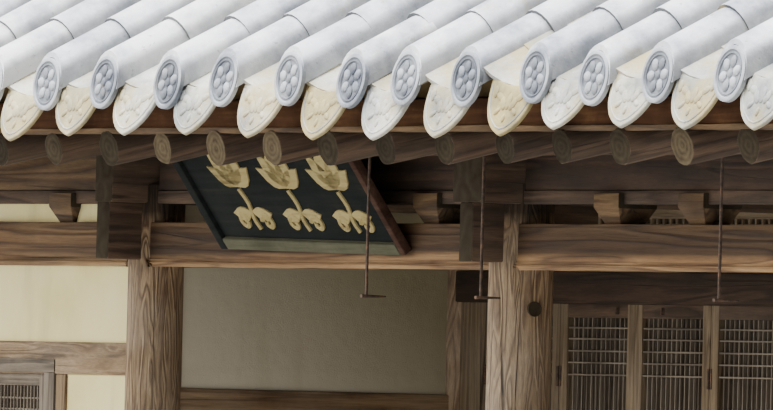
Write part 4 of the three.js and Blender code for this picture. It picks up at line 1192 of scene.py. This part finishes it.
def bayWall(x0, x1, y, top):
    # one bay: rails, posts beside the window and plaster between; top is what the plaster reaches
    thin, deep, lap, half, hole = wall["half"], wall["railHalf"], wall["lap"], wall["postHalf"], wall["postAt"]
    head, sill, floor, middle = wall["headRail"], wall["sillRail"], wall["floorRail"], (x0 + x1) / 2
    timbers = [((x0 + 0.06, y - deep, low), (x1 - 0.06, y + deep, high), "X") for low, high in (head, sill, floor)]
    for x in (middle - hole, middle + hole):
        timbers.append(((x - half, y - deep + 0.002, sill[1]), (x + half, y + deep - 0.002, head[0]), "Z"))
    fields = ((x0, x1, head[1] - lap, top), (x0, x1, floor[1] - lap, sill[0] + lap),
              (x0, x1, wall["foot"], floor[0] + lap), (x0, middle - hole, sill[1] - lap, head[0] + lap),
              (middle + hole, x1, sill[1] - lap, head[0] + lap))
    return timbers, [((a, y - thin, low), (b, y + thin, high)) for a, b, low, high in fields]


def framed(x0, x1, z0, z1, front, back, stile, rail):
    # two stiles and the rails between them, set back a little
    return [((x0, front, z0), (x0 + stile, back, z1), "Z"), ((x1 - stile, front, z0), (x1, back, z1), "Z"),
            ((x0 + stile, front + 0.001, z0), (x1 - stile, back, z0 + rail), "X"),
            ((x0 + stile, front + 0.001, z1 - rail), (x1 - stile, back, z1), "X")]


def buildWindowModel():
    # frame, two sashes and their lattice, facing -Y with the middle of its sill line at the origin's x and y
    low, high, half = window["bottom"], window["top"], window["half"]
    proud, deep, side, top = window["frameFront"], wall["half"], window["stile"], window["head"]
    front, back, stile, rail = window["sashFront"], window["sashBack"], window["sashStile"], window["sashRail"]
    inner, base, head, bar = half - side, low + top, high - top, window["bar"] / 2
    frameWork = [((-half, -proud, head), (half, deep, high), "X"), ((-half, -proud, low), (half, deep, base), "X"),
                 ((-half, -proud, base), (-inner, deep, head), "Z"), ((inner, -proud, base), (half, deep, head), "Z")]
    z0, z1 = base + rail, head - rail
    sashes = []
    for x0, x1 in ((-inner, -0.0015), (0.0015, inner)):
        sashes += framed(x0, x1, base, head, front, back, stile, rail)
        a, b = x0 + stile, x1 - stile
        for x in spaced(a, b, round((b - a) / window["pitch"]) - 1):
            sashes.append(((x - bar, front + 0.006, z0), (x + bar, back - 0.004, z1), "Z"))
        for middle in (z0 + window["barGroup"], (z0 + z1) / 2, z1 - window["barGroup"]):
            for z in [middle + i * window["barStep"] for i in range(-2, 3)]:
                sashes.append(((a, front + 0.008, z - bar), (b, back - 0.006, z + bar), "X"))
    sheet = block((-inner + 0.01, back - 0.002, base), (inner - 0.01, back + 0.003, head), 0.001)
    return joined([joinery(frameWork, sashWoods, 0.003), joinery(sashes, sashWoods, 0.0012), dress(sheet, shadedPaper)])


def finishWall(node, timbers, panels, extra=(), coat=plaster):
    parts = [joinery(timbers, railWoods, 0.005)]
    parts += [plasterPanel(low, high, seed, coat) for seed, (low, high) in enumerate(panels)]
    finish(joined(parts + list(extra)), f"{node}_infill", node)


def buildWalls():
    xs, frontY, rearY, innerY, top = house["columnX"], house["frontY"], house["rearY"], house["innerY"], wall["top"]
    low, high = house["lintel"]
    model = buildWindowModel()
    finishWall("front_left_wall", *bayWall(xs[0], xs[1], frontY, low - 0.0003))
    sashes = copyTo(model, moved((xs[0] + xs[1]) / 2, frontY))
    finish(sashes, "front_left_window_sashes", "front_left_window")
    for name, x0, x1 in zip(("left", "middle", "right"), xs, xs[1:]):
        timbers, panels = bayWall(x0, x1, rearY, top)
        timbers.append(((x0 + 0.06, rearY - 0.06, low), (x1 - 0.06, rearY + 0.06, high), "X"))
        sashes = copyTo(model, moved((x0 + x1) / 2, rearY) @ turned(math.pi, "Z"))
        finishWall(f"rear_wall_{name}", timbers, panels, [sashes])
    scrap(model)
    deep, thin, lap, post, half = (wall[part] for part in ("railHalf", "half", "lap", "sidePost", "sidePostHalf"))
    allRails = ("headRail", "sillRail", "floorRail")
    sides = (("left_side_wall", xs[0], frontY, rearY, allRails, (innerY, post), plaster),
             ("right_side_wall", xs[3], innerY, rearY, allRails, (post,), plaster),
             ("porch_side_wall", xs[1], frontY, innerY, ("porchRail", "floorRail"), (), shadedPorchPlaster))
    for node, x, y0, y1, rails, posts, coat in sides:
        levels = sorted(wall[rail] for rail in rails)
        timbers = [((x - deep, y0 + 0.06, low), (x + deep, y1 - 0.06, high), "Y") for low, high in levels]
        lows = [wall["foot"]] + [high - lap for low, high in levels]
        highs = [low + lap for low, high in levels] + [top]
        panels = [((x - thin, y0, a), (x + thin, y1, b)) for a, b in zip(lows, highs)]
        extra = []
        for y in posts:
            if y == innerY:
                extra.append(shaft(x, y, wall["foot"], top, house["radius"], 33))
            else:
                timbers.append(((x - deep + 0.003, y - half, levels[0][1]), (x + deep - 0.003, y + half, top), "Z"))
        finishWall(node, timbers, panels, extra, coat)
    print("walls filled")


# Doors and what stands round them
door = {"leaves": 4, "width": 0.425, "gap": 0.003, "stile": 0.042, "bottom": 0.7903, "top": 2.4577,
        "panelTop": 1.23, "front": -0.677, "back": -0.641, "bar": 0.0055, "bars": 12,
        "rows": (2.385, 2.351, 2.314, 2.278, 2.241, 1.93, 1.894, 1.858, 1.822, 1.786,
                 1.46, 1.424, 1.388, 1.352, 1.316),
        "hingeZ": (2.235, 1.6, 0.98), "latches": (-0.1, 0.155), "latchZ": 2.437}
surround = {"foot": 0.7603, "sillTop": 0.79, "jambTop": 2.459, "beam": (2.458, 2.556), "lower": (2.556, 2.601),
            "upper": (2.72, 2.762), "open": (2.6, 2.721), "bars": 50, "bar": 0.0045,
            "rows": (2.625, 2.65, 2.675, 2.7), "sheet": (2.59, 2.73), "plaster": (2.76, 3.18), "post": 0.045}


def buildLeafModel():
    # one leaf: frame, lattice over paper, board panel below; its middle is at x = 0
    stile, front, back, bar = door["stile"], door["front"], door["back"], door["bar"] / 2
    low, high, middle = door["bottom"], door["top"], door["panelTop"]
    half = (door["width"] - door["gap"]) / 2
    clear = half - stile
    members = framed(-half, half, low, high, front, back, stile, stile)
    topRail = members.pop()
    members += [((-clear, front + 0.001, middle), (clear, back, middle + stile), "X"),
                ((-clear, front + 0.01, low + stile), (clear, back - 0.006, middle), "Z")]
    lattice = [((x - bar, front + 0.006, middle + stile), (x + bar, back - 0.01, high - stile), "Z")
               for x in spaced(-clear, clear, door["bars"])]
    lattice += [((-clear, front + 0.004, z - bar), (clear, back - 0.016, z + bar), "X") for z in door["rows"]]
    sheet = block((-clear - 0.004, back - 0.008, middle + 0.01), (clear + 0.004, back - 0.003, high - 0.01), 0.001)
    # the top rail takes the darker smoked pine: painted shade under the beam over the doors
    return joined([joinery(members, doorWoods, 0.0012), joinery([topRail], smokedWoods, 0.0012),
                   joinery(lattice, sashWoods, 0.0012), dress(sheet, shadedPaper)])


def hingePlate(x, z, width=0.026, height=0.062):
    # a hammered plate with its pin and two nail heads
    y = door["front"]
    leafPlate = block((x - width / 2, y - 0.003, z - height / 2), (x + width / 2, y + 0.001, z + height / 2), 0.001)
    heads = [ball((0.005, 0.003, 0.005), (x, y - 0.003, z + side * height * 0.3), rings=5) for side in (-1, 1)]
    pin = drum(0.005, height, 12, (x, y - 0.004, z), (0, 0, 0))
    edit(pin, lambda face: len(face.vertices) > 4)
    bpy.ops.mesh.inset(thickness=0.0015)
    closeEdit()
    return [dress(part, iron) for part in [leafPlate, pin] + heads]


def doorSurround(x0, x1):
    # jambs and sill, the beam darkened with painted shade, and over it a lattice between two rails
    y, post = house["innerY"], surround["post"]
    middle, halfDoor = (x0 + x1) / 2, door["leaves"] * door["width"] / 2

    def across(inset, z, front, back=0.03):
        return (x0 + inset, y - front, z[0]), (x1 - inset, y + back, z[1]), "X"

    def upright(a, b, z, front, back=0.03):
        return (a, y - front, z[0]), (b, y + back, z[1]), "Z"

    jamb, gap = (surround["foot"], surround["jambTop"]), surround["open"]
    openings = [upright(x0 + 0.05, middle - halfDoor, jamb, 0.05, 0.05),
                upright(middle + halfDoor, x1 - 0.05, jamb, 0.05, 0.05),
                across(0.08, (surround["foot"], surround["sillTop"]), 0.051, 0.05)]
    transom = [across(0.08, surround["lower"], 0.03), across(0.08, surround["upper"], 0.031)]
    transom += [upright(a, a + post, gap, 0.029) for a in (middle - post / 2, x0 + 0.09, x1 - 0.09 - post)]
    bar, count = surround["bar"], surround["bars"]
    for i in range(count):
        x = x0 + 0.14 + (i + 0.5) * (x1 - x0 - 0.28) / count
        transom.append(upright(x - bar, x + bar, gap, 0.02, -0.004))
    transom += [across(0.1, (z - bar, z + bar), 0.018, -0.006) for z in surround["rows"]]
    # the beam over the doors takes the darker copy: painted shade
    return [joinery(openings, doorWoods), joinery([across(0.05, surround["beam"], 0.065, 0.065)], deepShadeWoods, 0.005),
            joinery(transom, doorWoods, 0.0015)]


def buildDoors():
    y, width = house["innerY"], door["width"]
    model = buildLeafModel()
    for name, bay in (("middle", 1), ("right", 2)):
        x0, x1 = house["columnX"][bay:bay + 2]
        middle = (x0 + x1) / 2
        leaves = [copyTo(model, moved(middle + (i - 1.5) * width, settled(0.0012))) for i in range(door["leaves"])]
        plates = []
        for i in (0, 1, 3, 4):
            seam = middle + (i - 2) * width + (0.004 if i in (0, 4) else 0)
            for z in door["hingeZ"]:
                plates += hingePlate(seam, z)
        for off in door["latches"]:
            plates += hingePlate(middle + off, door["latchZ"], 0.016, 0.02)
        finish(joined(leaves + plates), f"{name}_lattice_door_leaves", f"{name}_lattice_doors")
        low, high = surround["sheet"]
        sheet = block((x0 + 0.08, y + 0.008, low), (x1 - 0.08, y + 0.014, high), 0.001)
        low, high = surround["plaster"]
        over = plasterPanel((x0 + 0.08, y - 0.027, low), (x1 - 0.08, y + 0.027, high), bay)
        finish(joined(doorSurround(x0, x1) + [dress(sheet, shadedPaper), over]), f"{name}_door_surround",
               f"{name}_door_frame")
    scrap(model)
    print("doors hung")


porch = {"x0": -0.9937, "x1": 3.17, "y0": -1.815, "y1": -0.5803, "top": 0.76, "plank": 0.045, "edge": 0.12,
         "beamHalf": 0.055, "beamDeep": 0.149, "postHalf": 0.06, "postX": (0.0, 2.1), "postFoot": 0.3803,
         "joistHalf": 0.045, "bays": 8, "across": 7}


def buildPorchFloor():
    # joists across the porch with short planks let in between them
    left, right, front, back, edge = porch["x0"], porch["x1"], porch["y0"], porch["y1"], porch["edge"]
    top, under, deep, half = porch["top"], porch["top"] - porch["plank"], porch["beamDeep"], porch["beamHalf"]
    frontY, innerY, post, joist = house["frontY"], house["innerY"], porch["postHalf"], porch["joistHalf"]
    timbers = [((left, front, under), (right, front + edge, top), "X"),
               ((left, back - edge, under), (right, back, top), "X")]
    timbers += [((left, y - half, under - deep), (right, y + half, under + 0.001), "X") for y in (frontY, innerY)]
    timbers += [((x - half, frontY, under - deep + 0.001), (min(x + half, right), innerY, under + 0.001), "Y")
                for x in house["columnX"][2:]]
    timbers += [((x - post, frontY - post, porch["postFoot"]), (x + post, frontY + post, under - deep + 0.001), "Z")
                for x in porch["postX"]]
    joists = [left + joist + (right - left - 2 * joist) * i / porch["bays"] for i in range(porch["bays"] + 1)]
    timbers += [((x - joist, front + edge, under), (x + joist, back - edge, top - 0.0005), "Y") for x in joists]
    depth = (back - front - 2 * edge) / porch["across"]
    for a, b in zip(joists, joists[1:]):
        for i in range(porch["across"]):
            y = front + edge + i * depth
            drop = 0.001 + 0.0015 * chance.random()
            timbers.append(((a + joist + 0.001, y + 0.0012, under), (b - joist - 0.001, y + depth - 0.0012, top - drop),
                            "X"))
    finish(joinery(timbers, pineWoods, 0.0025), "porch_floor_planks", "porch_floor")
    print("porch floored")


# Kerb stones lie out to x and y; each course has its bottom, its top and how far its joints are shifted
platform = {"x": 3.85, "y": 2.38, "kerb": 0.32, "courses": ((0.0025, 0.2, 0.0), (0.203, 0.38, 0.45)),
            "shortest": 0.85, "longest": {"X": 1.35, "Y": 1.3}, "rest": 0.5, "joint": 0.002, "fillTop": 0.374,
            "base": (0.39, 0.39, 0.131), "baseZ": 0.4445, "baseTaper": 0.769}


def kerbRow(stones, along, near, reach, low, high, shift):
    # stones of chance lengths laid end to end, the last one never too short
    shape = platform
    at = -reach
    while at < reach - 0.01:
        length = chance.uniform(shape["shortest"], shape["longest"][along])
        end = min(at + length - (shift if at == -reach else 0), reach)
        end = reach if reach - end < shape["rest"] else end
        ends, sides = (at + shape["joint"], end - shape["joint"]), (near, near + shape["kerb"])
        xs, ys = (ends, sides) if along == "X" else (sides, ends)
        stones.append(dress(block((xs[0], ys[0], low), (xs[1], ys[1], high), 0.012, cuts=5, along=along,
                                  rough=0.002, seed=len(stones)), granite))
        at = end


def baseStone():
    # a dressed stone, tapered and a little worn
    stone = box((0, 0, platform["baseZ"]), platform["base"])
    edit(stone, lambda face: face.normal.z > 0.9)
    bpy.ops.transform.resize(value=(platform["baseTaper"], platform["baseTaper"], 1))
    bpy.ops.mesh.select_all(action="SELECT")
    bpy.ops.mesh.bevel(offset=0.012, segments=2, affect="EDGES")
    bpy.ops.mesh.subdivide(number_cuts=2)
    bpy.ops.transform.vertex_random(offset=0.0016, seed=3)
    closeEdit()
    return dress(stone, granite)


def buildPlatform():
    # two courses of long hewn kerb stones round a packed fill, and a dressed stone under each column
    x, y, kerb = platform["x"], platform["y"], platform["kerb"]
    stones = []
    for low, high, shift in platform["courses"]:
        for near in (-y, y - kerb):
            kerbRow(stones, "X", near, x, low, high, shift)
        for near in (-x, x - kerb):
            kerbRow(stones, "Y", near, y - kerb, low, high, shift)
    inX, inY = x - kerb + 0.01, y - kerb + 0.01
    fill = dress(block((-inX, -inY, 0.002), (inX, inY, platform["fillTop"]), 0.01), packedEarth)
    base = baseStone()
    for columnX in house["columnX"]:
        for columnY in (house["frontY"], house["innerY"], house["rearY"]):
            quarter = turned(chance.choice((0, 1, 2, 3)) * math.pi / 2, "Z")
            stones.append(copyTo(base, moved(columnX, columnY) @ quarter))
    scrap(base)
    finish(joined(stones + [fill]), "stone_platform_masonry", "stone_platform")
    print("platform laid")


sign = {"x": 0.022, "y": -1.852, "z": 2.591, "lean": 36, "half": 0.525, "height": 0.425, "thick": 0.045,
        "frame": 0.04, "drop": 0.014, "crooked": 1.1, "flowerX": (-0.24, 0.04, 0.32), "flowerZ": 0.222,
        "flowerSize": 0.32}
# Parts of a lotus as shares of its size: petals have a turn and a length
lotusShape = {"petal": ((0, 0), (0.26, 0.42), (0, 1.0), (-0.26, 0.42)),
              "petals": ((0, 0.5), (0.5, 0.47), (-0.5, 0.47), (1.0, 0.42), (-1.0, 0.42)),
              "leaf": ((0, 0), (0.16, 0.05), (0.34, -0.02), (0.17, -0.12)),
              "stem": ((0, 0), (0.03, -0.16), (-0.02, -0.34), (0, -0.46))}


def curl(x, z, size, side, start):
    # a line that winds in on itself a little more than once
    line = []
    for share in [i / 6 for i in range(7)]:
        angle = start + side * share * 1.1 * math.tau
        reach = size * (1 - 0.75 * share)
        line.append((x + reach * math.cos(angle), z + reach * math.sin(angle)))
    return line


def lotus(x, z, size):
    # a lotus on its stem between two leaves, the same on every board of this kind
    shape, parts = lotusShape, []
    for turn, length in shape["petals"]:
        petal = plate([(a * size * length * 0.9, b * size * length) for a, b in shape["petal"]], 0.009, 0.002, (0, 2))
        petal.data.transform(turned(turn, "Y"))
        petal.data.transform(moved(x, 0, z + size * 0.02))
        parts.append(petal)
    for side in (-1, 1):
        leaf = plate([(side * a * size, b * size) for a, b in shape["leaf"]], 0.008, 0.002, (0, 2))
        leaf.data.transform(moved(x, 0, z - size * 0.26))
        parts.append(leaf)
    stem = [(x + a * size, z + b * size) for a, b in shape["stem"]]
    curls = [curl(x - side * 0.2 * size, z - 0.38 * size, 0.1 * size, side, start)
             for side, start in ((-1, 2.9), (1, 0.2))]
    parts.append(strokes([stem] + curls, 0.009))
    return [dress(part, carvedPaint) for part in parts]


def buildSignboard():
    half, height, thick, edge = sign["half"], sign["height"], sign["thick"], sign["frame"]
    inner = half - edge + 0.002
    board = block((-inner, sign["drop"], edge - 0.002), (inner, thick - 0.004, height - edge + 0.002), 0.002)
    # rain has bleached the lower rail; the right stile is a later one, thinner and in another paint
    rails = [dress(block((0.001 - half + edge * 0.9, 0, z), (half - edge * 0.9, thick, z + edge), 0.005, cuts=6,
                         rough=0.001), paint) for z, paint in ((0, bleachedFoot), (height - edge, sootBoard))]
    stiles = [dress(block((x, front, 0.0005), (x + wide, back, height - 0.0005), 0.005), paint)
              for x, wide, front, back, paint in ((-half, edge, -0.001, thick - 0.001, sootBoard),
                                                  (half - edge, 0.03, 0.004, 0.034, redFrame))]
    flowers = []
    for x in sign["flowerX"]:
        flowers += lotus(x, sign["flowerZ"], sign["flowerSize"])
    for part in flowers:
        part.data.transform(moved(y=sign["drop"] - 0.001))
    whole = joined([dress(board, sootBoard)] + rails + stiles + flowers)
    # it leans out, and hangs crooked about its lower left corner
    whole.data.transform(moved(sign["x"], sign["y"], sign["z"]) @ turned(math.radians(sign["lean"]), "X")
                         @ moved(-half) @ turned(math.radians(sign["crooked"]), "Y") @ moved(half))
    finish(whole, "signboard_panel", "signboard")
    print("signboard hung")


def buildHooks():
    # an eye, a rod drawn a little crooked under the hammer, and a flattened foot
    length = hook["length"]
    for side, number in hook["rafters"].items():
        bpy.ops.mesh.primitive_torus_add(major_segments=24, minor_segments=10, major_radius=hook["eye"][0],
                                         minor_radius=hook["eye"][1], rotation=(0, math.pi / 2, 0))
        eye = withModifier(setDown(), "SUBSURF", levels=1, render_levels=1)
        rod = trunk((0, 0, -0.009), (0, 0, -length), hook["rod"], sides=12, steps=14, rough=0.0006,
                    seed=hook["seeds"][side])
        foot = box((0, 0.024, -length - 0.003), (0.014, 0.084, 0.01))
        edit(foot, lambda face: face.normal.y > 0.9)
        bpy.ops.transform.resize(value=(0.6, 1, 0.5))
        bpy.ops.mesh.select_all(action="SELECT")
        bpy.ops.mesh.bevel(offset=0.002, segments=2, affect="EDGES")
        closeEdit()
        whole = joined([dress(part, iron) for part in (eye, rod, foot)])
        whole.data.transform(moved(number * rafter["pitch"], hook["y"], hook["pinZ"]))
        finish(whole, f"door_hook_{side}_forging", f"door_hook_{side}", body=f"hook_{side}")
    print("hooks hung")


buildTiles()
buildRoofBed()
buildMainRidge()
buildVergeRidges()
buildRafters()
buildEave()
buildColumns()
buildLintels()
buildPurlins()
buildCrossBeams()
buildGables()
buildWalls()
buildDoors()
buildPorchFloor()
buildPlatform()
buildSignboard()
buildHooks()
dress(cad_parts["room_floor"], oiledPaper)


# Floor, light and camera
view = {"place": (35.8994, -23.7427, 2.1161), "turn": 58.3079, "pitch": 0.8402, "roll": 1.4548, "lens": 652.0,
        "sensor": 36, "far": 500}
bpy.ops.object.select_all(action="DESELECT")
bpy.ops.mesh.primitive_plane_add(size=120, location=(0, 0, 0))
ground = bpy.context.object
ground.name = "studio_floor"
dress(ground, newFinish("pale_studio_floor", **{"Base Color": "#84827e", "Roughness": 0.9})[0])

world = bpy.context.scene.world or bpy.data.worlds.new("studio")
bpy.context.scene.world = world
world.use_nodes = True
sky = world.node_tree.nodes["Background"].inputs
sky["Color"].default_value = colour("#eceded")
sky["Strength"].default_value = 0.32
# a high soft sky light on the roof, and a low warm one from the front and left, as in the open court
lamps = (((0.1, -0.3, 1.0), 13.0, 70, (1.0, 1.0, 1.0)), ((-0.55, -0.8, 0.28), 3.9, 50, (1.0, 0.94, 0.84)))
for toward, energy, spread, tint in lamps:
    bpy.ops.object.light_add(type="SUN", rotation=Vector(toward).to_track_quat("Z", "Y").to_euler())
    lamp = bpy.context.object.data
    lamp.energy, lamp.angle, lamp.color = energy, math.radians(spread), tint

bpy.ops.object.camera_add(location=view["place"])
camera = bpy.context.object
camera.rotation_euler = (turned(math.radians(view["turn"]), "Z") @ turned(math.radians(90 + view["pitch"]), "X")
                         @ turned(math.radians(view["roll"]), "Z")).to_euler()
camera.data.sensor_width, camera.data.lens, camera.data.clip_end = view["sensor"], view["lens"], view["far"]
bpy.context.scene.camera = camera
